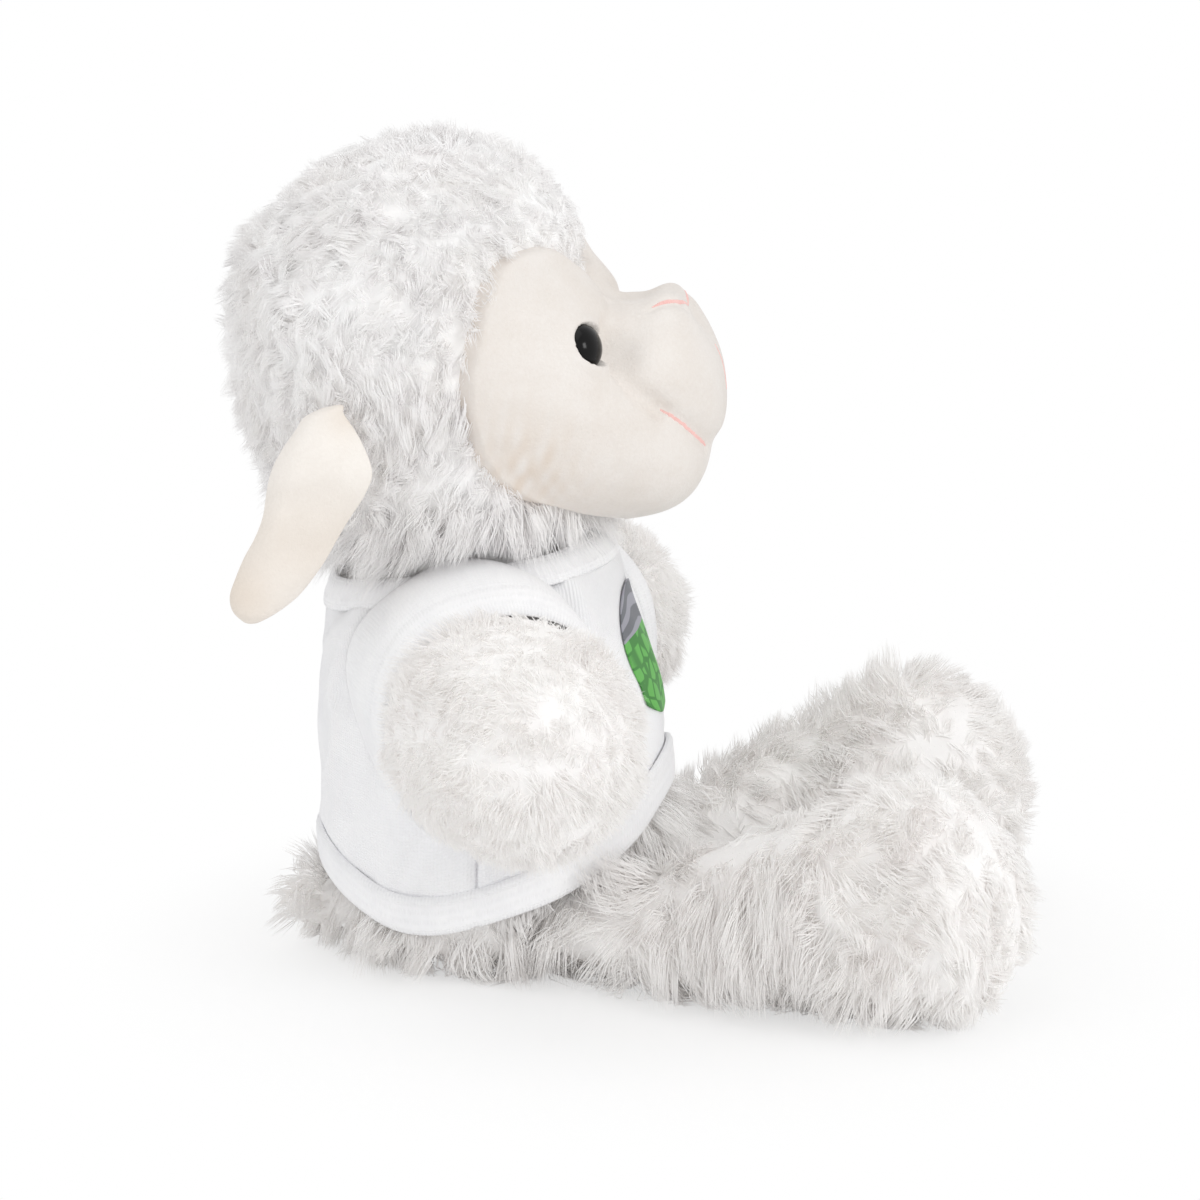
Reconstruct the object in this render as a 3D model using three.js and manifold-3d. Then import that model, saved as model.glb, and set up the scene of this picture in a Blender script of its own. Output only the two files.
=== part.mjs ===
// A sitting plush lamb in a t-shirt: stuffed wool body, head and limbs, velour face and ears.
// Millimetres. The lamb faces -Y, +X is its left side, +Z is up. The origin lies on the floor
// under the trunk, at the middle of the seat's flat underside.
import * as THREE from 'three';
import { mergeVertices } from 'three/addons/utils/BufferGeometryUtils.js';
import Module from 'manifold-3d';

const wasm = await Module();
wasm.setup();

// Clearances
const seamGap = 0.3; // between pieces that touch
const ballGap = 0.9; // round a ball that turns in its socket
const bellyGap = 2.7; // between a leg and the belly that it swings past
const floorCut = 0.5; // how deep a stuffed form is cut flat where it stands on the floor
const cutReach = 400; // size of the blocks that cut

// Facets
const formSides = 26;
const formRings = 15;
const limbSides = 20;
const limbRings = 13;
const smallSides = 16;
const smallRings = 9;
const ballSides = 18;
const ballRings = 12;

// Trunk
const trunkWidth = 83;
const trunkDepth = 84;
const trunkHeight = 106; // from the floor to the middle of the neck
const neckSlope = 0.14; // rise of the neck opening towards the front

// Neck
const neckBack = 5; // the neck's middle lies behind the trunk's
const neckRadius = 25;

// Head
const headWidth = 102;
const headDepth = 91;
const headHeight = 99.5;
const headBack = 20.5; // the head's middle lies behind the trunk's

// Face: brow, cheeks and jaw in one velour panel
const faceWidth = 90;
const faceHeight = 78;
const faceReach = 59; // from the face's back edge to the front of the jaw
const faceBack = 6; // where the face starts, behind the trunk's middle
const faceRise = 3.5; // from the neck's middle up to the jaw
const faceBottom = trunkHeight + faceRise;

// Muzzle: the bridge of the nose and the snout
const muzzleWidth = 54;
const muzzleHeight = 42;
const muzzleReach = 36.5;
const muzzleFront = 20; // where the muzzle starts, in front of the trunk's middle
const muzzleRise = 18.5; // from the jaw up to the muzzle
const muzzleBottom = faceBottom + muzzleRise;

// Eyes
const eyeRadius = 5.3;
const eyeDome = 3.6;
const eyeRim = 0.9;
const stemRadius = 1.5;
const stemLength = 8;
const washerRadius = 5;
const washerThickness = 1.2;
const washerDepth = 3.4; // fabric and filling between the eye and its washer
const eyeSink = 1.3; // how deep the eye's rim is drawn into the velour

// Ears
const earLength = 51;
const earWidth = 27;
const earThickness = 5.4;
const earSweep = 16; // how far the tip hangs behind the root
const earFlare = 3; // how far the tip stands out from the root

// Arms
const armLength = 46; // from the shoulder's middle to the tip of the paw
const armWidth = 56;
const armBall = 27.5;
const shoulderX = 49;
const shoulderFront = 6;
const shoulderDrop = 38; // from the neck's middle down to the shoulder's
const shoulderHeight = trunkHeight - shoulderDrop;
const armForward = 23; // lead of the paw over the shoulder, along the arm's length
const armDrop = 4;
const armSpread = 50;

// Legs
const legLength = 114;
const legWidth = 56;
const legHeight = 67.5;
const hipBall = 15.5;
const hipX = 25;
const hipFront = 24;
const hipHeight = 16;
const legSpread = 25;
const legForward = 76;
const splayIn = -4; // degrees
const splayOut = 16;
const splayStops = 4;

// Tail
const tailLength = 14;
const tailWidth = 24;
const tailHeight = 24;
const tailBall = 12;
const tailRootBack = 41;
const tailRootHeight = 14;

// T-shirt
const clothThickness = 1.2;
const bandThickness = 2;
const bandWidth = 9;
const hemFront = 45; // height of the hem's lower edge
const hemSide = 15;
const hemBack = 27.5;
const collarWidth = 5.5;
const sleeveRadius = 32.5; // inside, at the sleeve's mouth
const sleeveRootRadius = 29.5;
const sleeveRoot = 28; // from the shoulder's middle in to the sleeve's inner end
const sleeveMouth = 4.5; // from the shoulder's middle out to the mouth
const sleeveBand = 8.5;
const sleeveLead = 12; // how far the sleeve points forward over its own reach

// Chest print
const printWidth = 38;
const printThickness = 0.5;
const printOverHem = 5.5; // from the hem band up to the print
const printUnderCollar = 9.6;
const printGap = 0.5;

// Embroidery
const threadRadius = 0.7;
const threadSides = 6;
const threadSteps = 7;

// Finishes
const finish = (colour, roughness) =>
  new THREE.MeshStandardMaterial({ color: colour, roughness, metalness: 0 });
const shaggyWool = finish(0xf1efee, 0.95);
const curlyWool = finish(0xf3f1f1, 0.95);
const velour = finish(0xf2ebe5, 0.85);
const jersey = finish(0xfbfbfb, 0.9);
const eyePlastic = finish(0x0b0b0c, 0.15);
const washerPlastic = finish(0xd9d9d6, 0.5);
const pinkThread = finish(0xf0a9a4, 0.7);
const printInk = finish(0x58aa4c, 0.6);
const fibre = finish(0xfafafa, 1);

// Stations of each form run from its near end to its far end. A row of shares says how far along
// it lies, its half width, and the low and high side of its depth.
const trunkShares = [
  [0, 0, 0, 0],
  [0.008, 0.3, -0.28, 0.26],
  [0.06, 0.415, -0.42, 0.39],
  [0.2, 0.485, -0.49, 0.48],
  [0.44, 0.5, -0.5, 0.5],
  [0.66, 0.495, -0.495, 0.475],
  [0.83, 0.47, -0.48, 0.42],
  [0.92, 0.42, -0.45, 0.37],
  [0.965, 0.33, -0.385, 0.29],
  [0.99, 0.18, -0.23, 0.13],
  [1, 0, -0.06, -0.06],
];
const headShares = [
  [0, 0, 0.17, 0.17],
  [0.005, 0.2, -0.04, 0.38],
  [0.03, 0.33, -0.2, 0.5],
  [0.12, 0.42, -0.36, 0.52],
  [0.27, 0.475, -0.455, 0.49],
  [0.46, 0.5, -0.495, 0.485],
  [0.63, 0.49, -0.5, 0.495],
  [0.79, 0.425, -0.415, 0.48],
  [0.91, 0.3, -0.26, 0.37],
  [0.985, 0.15, -0.07, 0.2],
  [1, 0, 0.07, 0.07],
];
const faceShares = [
  [0, 0, 0.5, 0.5],
  [0.03, 0.42, 0.06, 0.94],
  [0.12, 0.5, 0, 1],
  [0.3, 0.485, -0.005, 0.97],
  [0.5, 0.43, 0, 0.85],
  [0.68, 0.365, 0.015, 0.67],
  [0.82, 0.3, 0.04, 0.51],
  [0.92, 0.225, 0.09, 0.4],
  [0.98, 0.12, 0.17, 0.33],
  [1, 0, 0.25, 0.25],
];
const muzzleShares = [
  [0, 0, 0.5, 0.5],
  [0.04, 0.36, 0.05, 0.95],
  [0.2, 0.48, -0.02, 0.95],
  [0.42, 0.5, 0, 0.9],
  [0.62, 0.47, 0.02, 0.96],
  [0.8, 0.405, 0.03, 0.86],
  [0.93, 0.285, 0.07, 0.64],
  [0.985, 0.15, 0.14, 0.45],
  [1, 0, 0.27, 0.27],
];
const earShares = [
  [-0.03, 0, -0.1, -0.1],
  [0, 0.22, -0.45, 0.3],
  [0.1, 0.38, -0.5, 0.45],
  [0.28, 0.5, -0.4, 0.5],
  [0.55, 0.41, -0.45, 0.4],
  [0.8, 0.34, -0.5, 0.3],
  [0.95, 0.2, -0.4, 0.3],
  [1, 0, -0.05, -0.05],
];
const armShares = [
  [-0.5, 0, 0, 0],
  [-0.45, 0.19, -0.19, 0.19],
  [-0.3, 0.36, -0.36, 0.36],
  [0, 0.485, -0.475, 0.485],
  [0.26, 0.49, -0.465, 0.495],
  [0.45, 0.475, -0.44, 0.48],
  [0.66, 0.415, -0.385, 0.42],
  [0.84, 0.31, -0.295, 0.31],
  [0.96, 0.165, -0.16, 0.16],
  [1, 0, 0, 0],
];
const legShares = [
  [-0.1, 0, 0.23, 0.23],
  [-0.06, 0.17, 0.1, 0.36],
  [0.03, 0.27, 0.01, 0.44],
  [0.11, 0.31, 0, 0.46],
  [0.19, 0.35, 0, 0.53],
  [0.33, 0.4, 0, 0.67],
  [0.47, 0.42, 0, 0.77],
  [0.6, 0.45, 0, 0.93],
  [0.72, 0.49, 0, 1],
  [0.84, 0.5, 0, 0.955],
  [0.94, 0.41, 0.07, 0.81],
  [0.985, 0.24, 0.2, 0.62],
  [1, 0, 0.4, 0.4],
];
const tailShares = [
  [-0.3, 0, 0, 0],
  [-0.15, 0.4, -0.4, 0.4],
  [0.2, 0.48, -0.5, 0.47],
  [0.5, 0.42, -0.47, 0.36],
  [0.8, 0.3, -0.39, 0.2],
  [0.95, 0.16, -0.26, 0.05],
  [1, 0, -0.12, -0.12],
];

// Directions
const across = new THREE.Vector3(1, 0, 0);
const forward = new THREE.Vector3(0, -1, 0);
const upward = new THREE.Vector3(0, 0, 1);

// A stuffed form: its stations, its length, width and depth, and where it starts and points.
function stuffedForm(stationShares, [length, width, depth], origin, along, deepWay, lean = () => 0) {
  const reach = stationShares.map(([share, , low, high]) =>
    new THREE.Vector3(share * length, low * depth, high * depth));
  const girth = stationShares.map(([share, half]) => new THREE.Vector3(share * length, half * width, 0));
  return {
    length,
    reach: new THREE.CatmullRomCurve3(reach, false, 'catmullrom'),
    girth: new THREE.CatmullRomCurve3(girth, false, 'catmullrom'),
    place: new THREE.Matrix4().makeBasis(along.clone().cross(deepWay), along, deepWay).setPosition(origin),
    lean,
  };
}

// The point on a form at a share of its stations and a turn about its length, moved out by grow.
function pointOn(form, share, turn, grow = 0) {
  const side = form.reach.getPoint(share);
  const half = Math.max(form.girth.getPoint(share).y, 0);
  const middle = (side.y + side.z) / 2;
  const halfDepth = Math.max((side.z - side.y) / 2, 0);
  const swell = Math.min(share, 1 - share) > 0 ? grow : 0;
  const deep = middle + (halfDepth + swell) * Math.sin(turn);
  const out = form.length / 2;
  const local = new THREE.Vector3(
    (half + swell) * Math.cos(turn),
    out + (side.x - out) * (1 + grow / out) + form.lean(share, deep),
    deep,
  );
  return local.applyMatrix4(form.place);
}

// A ball whose rings are moved onto the form
function formGeometry(form, grow = 0, sides = formSides, rings = formRings) {
  const ball = new THREE.SphereGeometry(1, sides, rings);
  const at = ball.attributes.position;
  for (let i = 0; i < at.count; i++) {
    const [x, y, z] = [at.getX(i), at.getY(i), at.getZ(i)];
    const share = 1 - Math.acos(THREE.MathUtils.clamp(y, -1, 1)) / Math.PI;
    const onPole = i <= sides || i >= at.count - sides - 1;
    const spot = pointOn(form, onPole ? Math.round(share) : share, Math.atan2(z, x), grow);
    at.setXYZ(i, spot.x, spot.y, spot.z);
  }
  return ball;
}

function solidOf(geometry) {
  const bare = geometry.clone();
  bare.deleteAttribute('normal');
  bare.deleteAttribute('uv');
  const merged = mergeVertices(bare);
  const vertProperties = Float32Array.from(merged.attributes.position.array);
  const triVerts = Uint32Array.from(merged.index.array);
  const solid = new wasm.Manifold(new wasm.Mesh({ numProp: 3, vertProperties, triVerts }));
  if (solid.volume() > 0) return solid;
  triVerts.reverse(); // the faces pointed in
  return new wasm.Manifold(new wasm.Mesh({ numProp: 3, vertProperties, triVerts }));
}

function geometryOf(solid) {
  const { vertProperties, triVerts } = solid.getMesh();
  const geometry = new THREE.BufferGeometry();
  geometry.setAttribute('position', new THREE.BufferAttribute(vertProperties, 3));
  geometry.setIndex(new THREE.BufferAttribute(triVerts, 1));
  geometry.computeVertexNormals();
  return geometry;
}

const formSolid = (form, grow, sides, rings) => solidOf(formGeometry(form, grow, sides, rings));

const ballAt = (centre, radius, sides = ballSides, rings = ballRings) =>
  solidOf(new THREE.SphereGeometry(radius, sides, rings).translate(...centre.toArray()));

// A turned piece: its closed outline of radius and height, set on a point and along a direction
function turnedPiece(outline, origin, along, sides = ballSides) {
  const loop = [...outline, outline[0]].map(([radius, height]) => new THREE.Vector2(radius, height));
  const turnTo = new THREE.Quaternion().setFromUnitVectors(new THREE.Vector3(0, 1, 0), along);
  const piece = new THREE.LatheGeometry(loop, sides).applyQuaternion(turnTo);
  return solidOf(piece.translate(...origin.toArray()));
}

// A turned piece whose outline starts and ends on its axis
function turnedPin(outline, origin, along, sides = smallSides) {
  const line = outline.map(([radius, height]) => new THREE.Vector2(radius, height));
  const turnTo = new THREE.Quaternion().setFromUnitVectors(new THREE.Vector3(0, 1, 0), along);
  const piece = new THREE.LatheGeometry(line, sides).applyQuaternion(turnTo).translate(...origin.toArray());
  return solidOf(withoutSlivers(piece));
}

// Drops the triangles that a lathe folds flat where its outline meets the axis
function withoutSlivers(geometry) {
  geometry.deleteAttribute('normal');
  geometry.deleteAttribute('uv');
  const merged = mergeVertices(geometry);
  const corners = merged.index.array;
  const kept = [];
  for (let i = 0; i < corners.length; i += 3) {
    const [a, b, c] = corners.slice(i, i + 3);
    if (a !== b && b !== c && c !== a) kept.push(a, b, c);
  }
  merged.setIndex(kept);
  return merged;
}

const blockBelowFloor = solidOf(new THREE.BoxGeometry(cutReach, cutReach, cutReach)
  .translate(0, 0, -cutReach / 2));

// Bodies: each group stands at the point about which its body turns
const lamb = new THREE.Group();

function bodyAt(parent, point) {
  const group = new THREE.Group();
  parent.updateWorldMatrix(true, false);
  group.position.copy(parent.worldToLocal(point.clone()));
  parent.add(group);
  return group;
}

function addPiece(group, name, solid, material) {
  group.updateWorldMatrix(true, false);
  const home = new THREE.Matrix4().copy(group.matrixWorld).invert();
  const mesh = new THREE.Mesh(geometryOf(solid).applyMatrix4(home), material);
  mesh.name = name;
  group.add(mesh);
}

const sides = [['right', -1], ['left', 1]];

// Trunk
const smooth = THREE.MathUtils.smoothstep;
const leanStartShare = 0.35;
const trunkForm = stuffedForm(trunkShares, [trunkHeight + floorCut, trunkWidth, trunkDepth],
  new THREE.Vector3(0, 0, -floorCut), upward, forward,
  (share, deep) => neckSlope * deep * smooth(share, leanStartShare, 1));
const neckPoint = new THREE.Vector3(0, neckBack, trunkHeight);
const neckBall = ballAt(neckPoint, neckRadius);
const neckSocket = ballAt(neckPoint, neckRadius + ballGap);
const shoulderOf = (side) => new THREE.Vector3(side * shoulderX, -shoulderFront, shoulderHeight);
const hipOf = (side) => new THREE.Vector3(side * hipX, -hipFront, hipHeight);
const tailRoot = new THREE.Vector3(0, tailRootBack, tailRootHeight);

function trunk() {
  let body = formSolid(trunkForm).subtract(blockBelowFloor).subtract(neckSocket);
  for (const [, side] of sides) {
    body = body.subtract(ballAt(shoulderOf(side), armBall + ballGap));
    body = body.subtract(ballAt(hipOf(side), hipBall + ballGap));
  }
  return body.subtract(ballAt(tailRoot, tailBall + ballGap));
}

// Head
const headLeanEndShare = 0.4;
const headForm = stuffedForm(headShares, [headHeight, headWidth, headDepth],
  new THREE.Vector3(0, headBack, trunkHeight), upward, forward,
  (share, deep) => neckSlope * (deep - (headBack - neckBack)) * (1 - smooth(share, 0, headLeanEndShare)));

// Face and muzzle: each is cut by the larger form behind it
const faceForm = stuffedForm(faceShares, [faceReach, faceWidth, faceHeight],
  new THREE.Vector3(0, faceBack, faceBottom), forward, upward);
const muzzleForm = stuffedForm(muzzleShares, [muzzleReach, muzzleWidth, muzzleHeight],
  new THREE.Vector3(0, -muzzleFront, muzzleBottom), forward, upward);

// A spot on a form's surface: the point and the way out of it
function spotOn(form, share, turn) {
  const step = 0.01;
  const onward = pointOn(form, share + step, turn).sub(pointOn(form, share - step, turn));
  const round = pointOn(form, share, turn + step).sub(pointOn(form, share, turn - step));
  return { point: pointOn(form, share, turn), out: onward.cross(round).normalize() };
}

// The eyes look out of the cheeks' upper front
const eyeShare = 0.48;
const eyeTurn = 0.58; // radians above the face's middle
const eyeLeadShare = 0.42; // how far the eye is turned from straight out to straight ahead
const eyeSpots = sides.map(([name, side]) => {
  const { point, out } = spotOn(faceForm, eyeShare, side > 0 ? Math.PI - eyeTurn : eyeTurn);
  out.lerp(forward, eyeLeadShare).normalize();
  return { name, seat: point.addScaledVector(out, -eyeSink), out };
});

function eyeOutline(grow = 0) {
  const dome = [];
  const domeSteps = 5;
  for (let i = domeSteps; i >= 0; i--) {
    const turn = (i / domeSteps) * (Math.PI / 2);
    dome.push([(eyeRadius + grow) * Math.cos(turn), eyeRim + (eyeDome + grow) * Math.sin(turn)]);
  }
  dome[0][0] = 0;
  const [rim, stem, end] = [eyeRadius + grow, stemRadius + grow, -stemLength - grow];
  return [...dome, [rim, -grow], [stem, -grow], [stem, end], [0, end]];
}

const eye = ({ seat, out }) => turnedPin(eyeOutline(), seat, out);

function washer({ seat, out }) {
  const hole = stemRadius + seamGap;
  const back = -washerDepth - washerThickness;
  const outline = [[hole, back], [washerRadius, back], [washerRadius, -washerDepth], [hole, -washerDepth]];
  return turnedPiece(outline, seat, out, smallSides);
}

// The way that the washer goes in, from behind the velour
function washerBore({ seat, out }) {
  const bore = washerRadius + seamGap;
  const outline = [[0, -washerDepth + seamGap], [bore, -washerDepth + seamGap], [bore, -faceReach / 2],
    [0, -faceReach / 2]];
  return turnedPin(outline, seat, out);
}

// The room that an eye and its washer take
function eyeRoom({ seat, out }) {
  const room = washerRadius + seamGap;
  const outline = [[0, seamGap - washerDepth], [room, seamGap - washerDepth],
    [room, -washerDepth - washerThickness - seamGap], [0, -washerDepth - washerThickness - seamGap]];
  return turnedPin(eyeOutline(seamGap), seat, out).add(turnedPin(outline, seat, out));
}

function face() {
  let panel = formSolid(faceForm).subtract(formSolid(headForm, seamGap)).subtract(neckSocket);
  for (const spot of eyeSpots) panel = panel.subtract(eyeRoom(spot)).subtract(washerBore(spot));
  return panel;
}

function head() {
  let wool = formSolid(headForm).subtract(neckSocket);
  for (const spot of eyeSpots) wool = wool.subtract(eyeRoom(spot));
  return wool;
}

const muzzle = () => formSolid(muzzleForm, 0, limbSides, limbRings)
  .subtract(formSolid(faceForm, seamGap));

// Ears: one lens of velour, parted along its middle into an outer and an inner layer
const earOnHeadShare = 0.463;
const earTurnOnHead = -0.31; // radians behind the head's side

function earSpot(side) {
  const { point, out } = spotOn(headForm, earOnHeadShare, side > 0 ? earTurnOnHead : Math.PI - earTurnOnHead);
  return point.addScaledVector(out, earThickness / 2 + seamGap);
}

function earLayer(side, layer) {
  const root = earSpot(side);
  const along = new THREE.Vector3(side * earFlare, earSweep, -earLength).normalize();
  const outWay = across.clone().multiplyScalar(side);
  outWay.addScaledVector(along, -outWay.dot(along)).normalize();
  const form = stuffedForm(earShares, [earLength, earWidth, earThickness], root, along, outWay);
  const half = new THREE.BoxGeometry(cutReach, cutReach, earThickness);
  half.translate(0, 0, (layer * (earThickness + seamGap)) / 2).applyMatrix4(form.place);
  return formSolid(form, 0, smallSides, smallRings).intersect(solidOf(half));
}

// Limbs: a ball in its socket, and beyond it the stuffed form, cut back from the belly that it passes
function turnedAbout(geometry, point, axis, degrees) {
  const turn = new THREE.Matrix4().makeRotationAxis(axis, THREE.MathUtils.degToRad(degrees));
  return geometry.translate(...point.clone().negate().toArray()).applyMatrix4(turn)
    .translate(...point.toArray());
}

const largestOf = (solid) => solid.decompose().reduce((a, b) => (a.volume() > b.volume() ? a : b));

function limb(form, point, ballRadius, turns = []) {
  let stuffed = formSolid(form, 0, limbSides, limbRings).subtract(blockBelowFloor);
  for (const degrees of turns) {
    const belly = turnedAbout(formGeometry(trunkForm, bellyGap), point, upward, degrees);
    stuffed = stuffed.subtract(solidOf(belly));
  }
  return largestOf(stuffed).add(ballAt(point, ballRadius));
}

function arm(side) {
  const along = new THREE.Vector3(side * armSpread, -armForward, -armDrop).normalize();
  const upWay = upward.clone().addScaledVector(along, -upward.dot(along)).normalize();
  const point = shoulderOf(side);
  return limb(stuffedForm(armShares, [armLength, armWidth, armWidth], point, along, upWay), point, armBall);
}

// Turns between two angles, in equal steps
const stopsBetween = (low, high, count) =>
  Array.from({ length: count }, (_, i) => low + ((high - low) * i) / (count - 1));

function leg(side) {
  const along = new THREE.Vector3(side * legSpread, -legForward, 0).normalize();
  const point = hipOf(side);
  const form = stuffedForm(legShares, [legLength, legWidth, legHeight + floorCut],
    point.clone().setZ(-floorCut), along, upward);
  const turns = stopsBetween(splayIn, splayOut, splayStops).map((degrees) => -side * degrees);
  return limb(form, point, hipBall, turns);
}

function tail() {
  const form = stuffedForm(tailShares, [tailLength, tailWidth, tailHeight], tailRoot,
    forward.clone().negate(), upward);
  return limb(form, tailRoot, tailBall);
}

// Cloth on the trunk: a slab whose width follows the turn round the trunk, whose height follows
// the trunk's stations and whose thickness stands off its surface
function clothOnTrunk([from, to], lowAt, highAt, [inner, outer], columns, rows) {
  const slab = new THREE.BoxGeometry(1, 1, 1, columns, rows, 1);
  const at = slab.attributes.position;
  for (let i = 0; i < at.count; i++) {
    const turn = THREE.MathUtils.lerp(from, to, at.getX(i) + 0.5);
    const share = THREE.MathUtils.lerp(lowAt(turn), highAt(turn), at.getY(i) + 0.5);
    const spot = pointOn(trunkForm, share, turn, THREE.MathUtils.lerp(inner, outer, at.getZ(i) + 0.5));
    at.setXYZ(i, spot.x, spot.y, spot.z);
  }
  return solidOf(slab);
}

// The station share at which the trunk's surface reaches a height
const halvings = 30;
function shareAtHeight(turn, height) {
  let [low, high] = [0, 1];
  for (let i = 0; i < halvings; i++) {
    const middle = (low + high) / 2;
    if (pointOn(trunkForm, middle, turn).z < height) low = middle;
    else high = middle;
  }
  return low;
}

const hemFrontBend = 1.1; // how the hem's rise gathers towards the front and back
const hemBackBend = 4.5;
function hemHeight(turn) {
  const toFront = Math.sin(turn);
  const [rise, bend] = toFront > 0 ? [hemFront - hemSide, hemFrontBend] : [hemBack - hemSide, hemBackBend];
  return hemSide + rise * Math.abs(toFront) ** bend;
}

const collarTopShare = 0.79; // the trunk's station at which the collar ends
const collarShares = collarWidth / trunkHeight; // how many stations it covers
const collarLowShare = collarTopShare - collarShares;
const collarBackDrop = 0.08; // how much lower it lies at the back
const collarBackBend = 1.5;
const seamShare = seamGap / trunkHeight;
const clothFaces = [seamGap, seamGap + clothThickness];
const bandFaces = [seamGap, seamGap + bandThickness];
const seamTurn = seamGap / trunkWidth;
const panelColumns = 16;
const panelRows = 8;
const bandRows = 2;

function sleeveAxis(side) {
  return new THREE.Vector3(side * armLength, -sleeveLead, 0).normalize();
}

function sleevePiece(side, [start, end], thickness) {
  const radiusAt = (along) => THREE.MathUtils.mapLinear(along, -sleeveRoot, sleeveMouth, sleeveRootRadius,
    sleeveRadius);
  const outline = [
    [radiusAt(start), start], [radiusAt(end), end],
    [radiusAt(end) + thickness, end], [radiusAt(start) + thickness, start],
  ];
  return turnedPiece(outline, shoulderOf(side), sleeveAxis(side), formSides);
}

// Everything inside the sleeve's outer face, out to its mouth
function armhole(side) {
  const inside = (radius) => radius + clothThickness + seamGap;
  const outline = [[0, -sleeveRoot], [inside(sleeveRootRadius), -sleeveRoot],
    [inside(sleeveRadius), sleeveMouth], [0, sleeveMouth]];
  return turnedPin(outline, shoulderOf(side), sleeveAxis(side), formSides);
}

function collarTopAt(turn) {
  const toBack = Math.max(0, -Math.sin(turn));
  return collarTopShare - collarBackDrop * toBack ** collarBackBend;
}

function shirtPanel(from, to) {
  const low = (turn) => shareAtHeight(turn, hemHeight(turn) + bandWidth + seamGap);
  const high = (turn) => collarTopAt(turn) - collarShares - seamShare;
  let panel = clothOnTrunk([from + seamTurn, to - seamTurn], low, high, clothFaces, panelColumns, panelRows);
  for (const [, side] of sides) panel = panel.subtract(armhole(side));
  return panel;
}

// A closed ring of cloth: two half rings joined where they meet
function clothRing(lowAt, highAt, faces, columns, rows) {
  const overlap = seamTurn / 2;
  const halves = [0, Math.PI].map((from) =>
    clothOnTrunk([from - overlap, from + Math.PI + overlap], lowAt, highAt, faces, columns, rows));
  return halves[0].add(halves[1]);
}

const collar = () => clothRing((turn) => collarTopAt(turn) - collarShares, collarTopAt, bandFaces,
  panelColumns, bandRows);

const hemBand = () => clothRing((turn) => shareAtHeight(turn, hemHeight(turn)),
  (turn) => shareAtHeight(turn, hemHeight(turn) + bandWidth), bandFaces, panelColumns, bandRows);

function sleeve(side) {
  const piece = sleevePiece(side, [-sleeveRoot, sleeveMouth - sleeveBand - seamGap], clothThickness);
  return piece.subtract(formSolid(trunkForm, seamGap));
}

const sleeveBandPiece = (side) =>
  sleevePiece(side, [sleeveMouth - sleeveBand, sleeveMouth], bandThickness)
    .subtract(formSolid(trunkForm, seamGap));

// Chest print: a thin oval that follows the shirt's front
function chestPrint() {
  const low = hemFront + bandWidth + printOverHem;
  const high = pointOn(trunkForm, collarLowShare, Math.PI / 2).z - printUnderCollar;
  const oval = new THREE.SphereGeometry(1, smallSides, smallRings).rotateX(Math.PI / 2);
  const at = oval.attributes.position;
  for (let i = 0; i < at.count; i++) {
    const turn = Math.PI / 2 + (at.getX(i) * printWidth) / trunkDepth;
    const share = shareAtHeight(turn, THREE.MathUtils.lerp(low, high, (at.getY(i) + 1) / 2));
    const off = clothFaces[1] + printGap + ((at.getZ(i) + 1) / 2) * printThickness;
    const spot = pointOn(trunkForm, share, turn, off);
    at.setXYZ(i, spot.x, spot.y, spot.z);
  }
  return solidOf(oval);
}

// Embroidery: a satin-stitched line laid on the velour through its form's stations and turns
function stitchedLine(form, spots) {
  const points = spots.map(([share, turn]) => {
    const { point, out } = spotOn(form, share, turn);
    return point.addScaledVector(out, threadRadius + seamGap);
  });
  const corners = Array.from({ length: threadSides }, (_, i) => {
    const turn = (2 * Math.PI * i) / threadSides;
    return new THREE.Vector2(threadRadius * Math.cos(turn), threadRadius * Math.sin(turn));
  });
  const extrudePath = new THREE.CatmullRomCurve3(points);
  return solidOf(new THREE.ExtrudeGeometry(new THREE.Shape(corners),
    { extrudePath, steps: threadSteps, bevelEnabled: false }));
}

// Each point is a station's share and a turn in radians
const noseShares = [[0.8, Math.PI / 2], [0.86, Math.PI / 2], [0.92, Math.PI / 2]];
const nostrilShares = [[0.44, 1.2], [0.52, 1.16], [0.6, 1.2]];
const mouthShares = [[0.5, 0.05], [0.6, -0.1], [0.7, -0.35], [0.78, -0.7]];
const mirrored = (spots, side) => spots.map(([share, turn]) => [share, side > 0 ? Math.PI - turn : turn]);

// The lamb, body by body
const trunkBody = bodyAt(lamb, new THREE.Vector3());
addPiece(trunkBody, 'trunk', trunk(), shaggyWool);
addPiece(trunkBody, 'shirt_front', shirtPanel(0, Math.PI), jersey);
addPiece(trunkBody, 'shirt_back', shirtPanel(Math.PI, 2 * Math.PI), jersey);
addPiece(trunkBody, 'shirt_collar', collar(), jersey);
addPiece(trunkBody, 'shirt_hem_band', hemBand(), jersey);
addPiece(trunkBody, 'chest_print', chestPrint(), printInk);

const neckBody = bodyAt(trunkBody, neckPoint);
addPiece(neckBody, 'neck_filling', neckBall, fibre);

const headBody = bodyAt(neckBody, neckPoint);
addPiece(headBody, 'head', head(), curlyWool);
addPiece(headBody, 'face', face(), velour);
addPiece(headBody, 'muzzle', muzzle(), velour);
addPiece(headBody, 'nose_stitch', stitchedLine(muzzleForm, noseShares), pinkThread);

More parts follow.
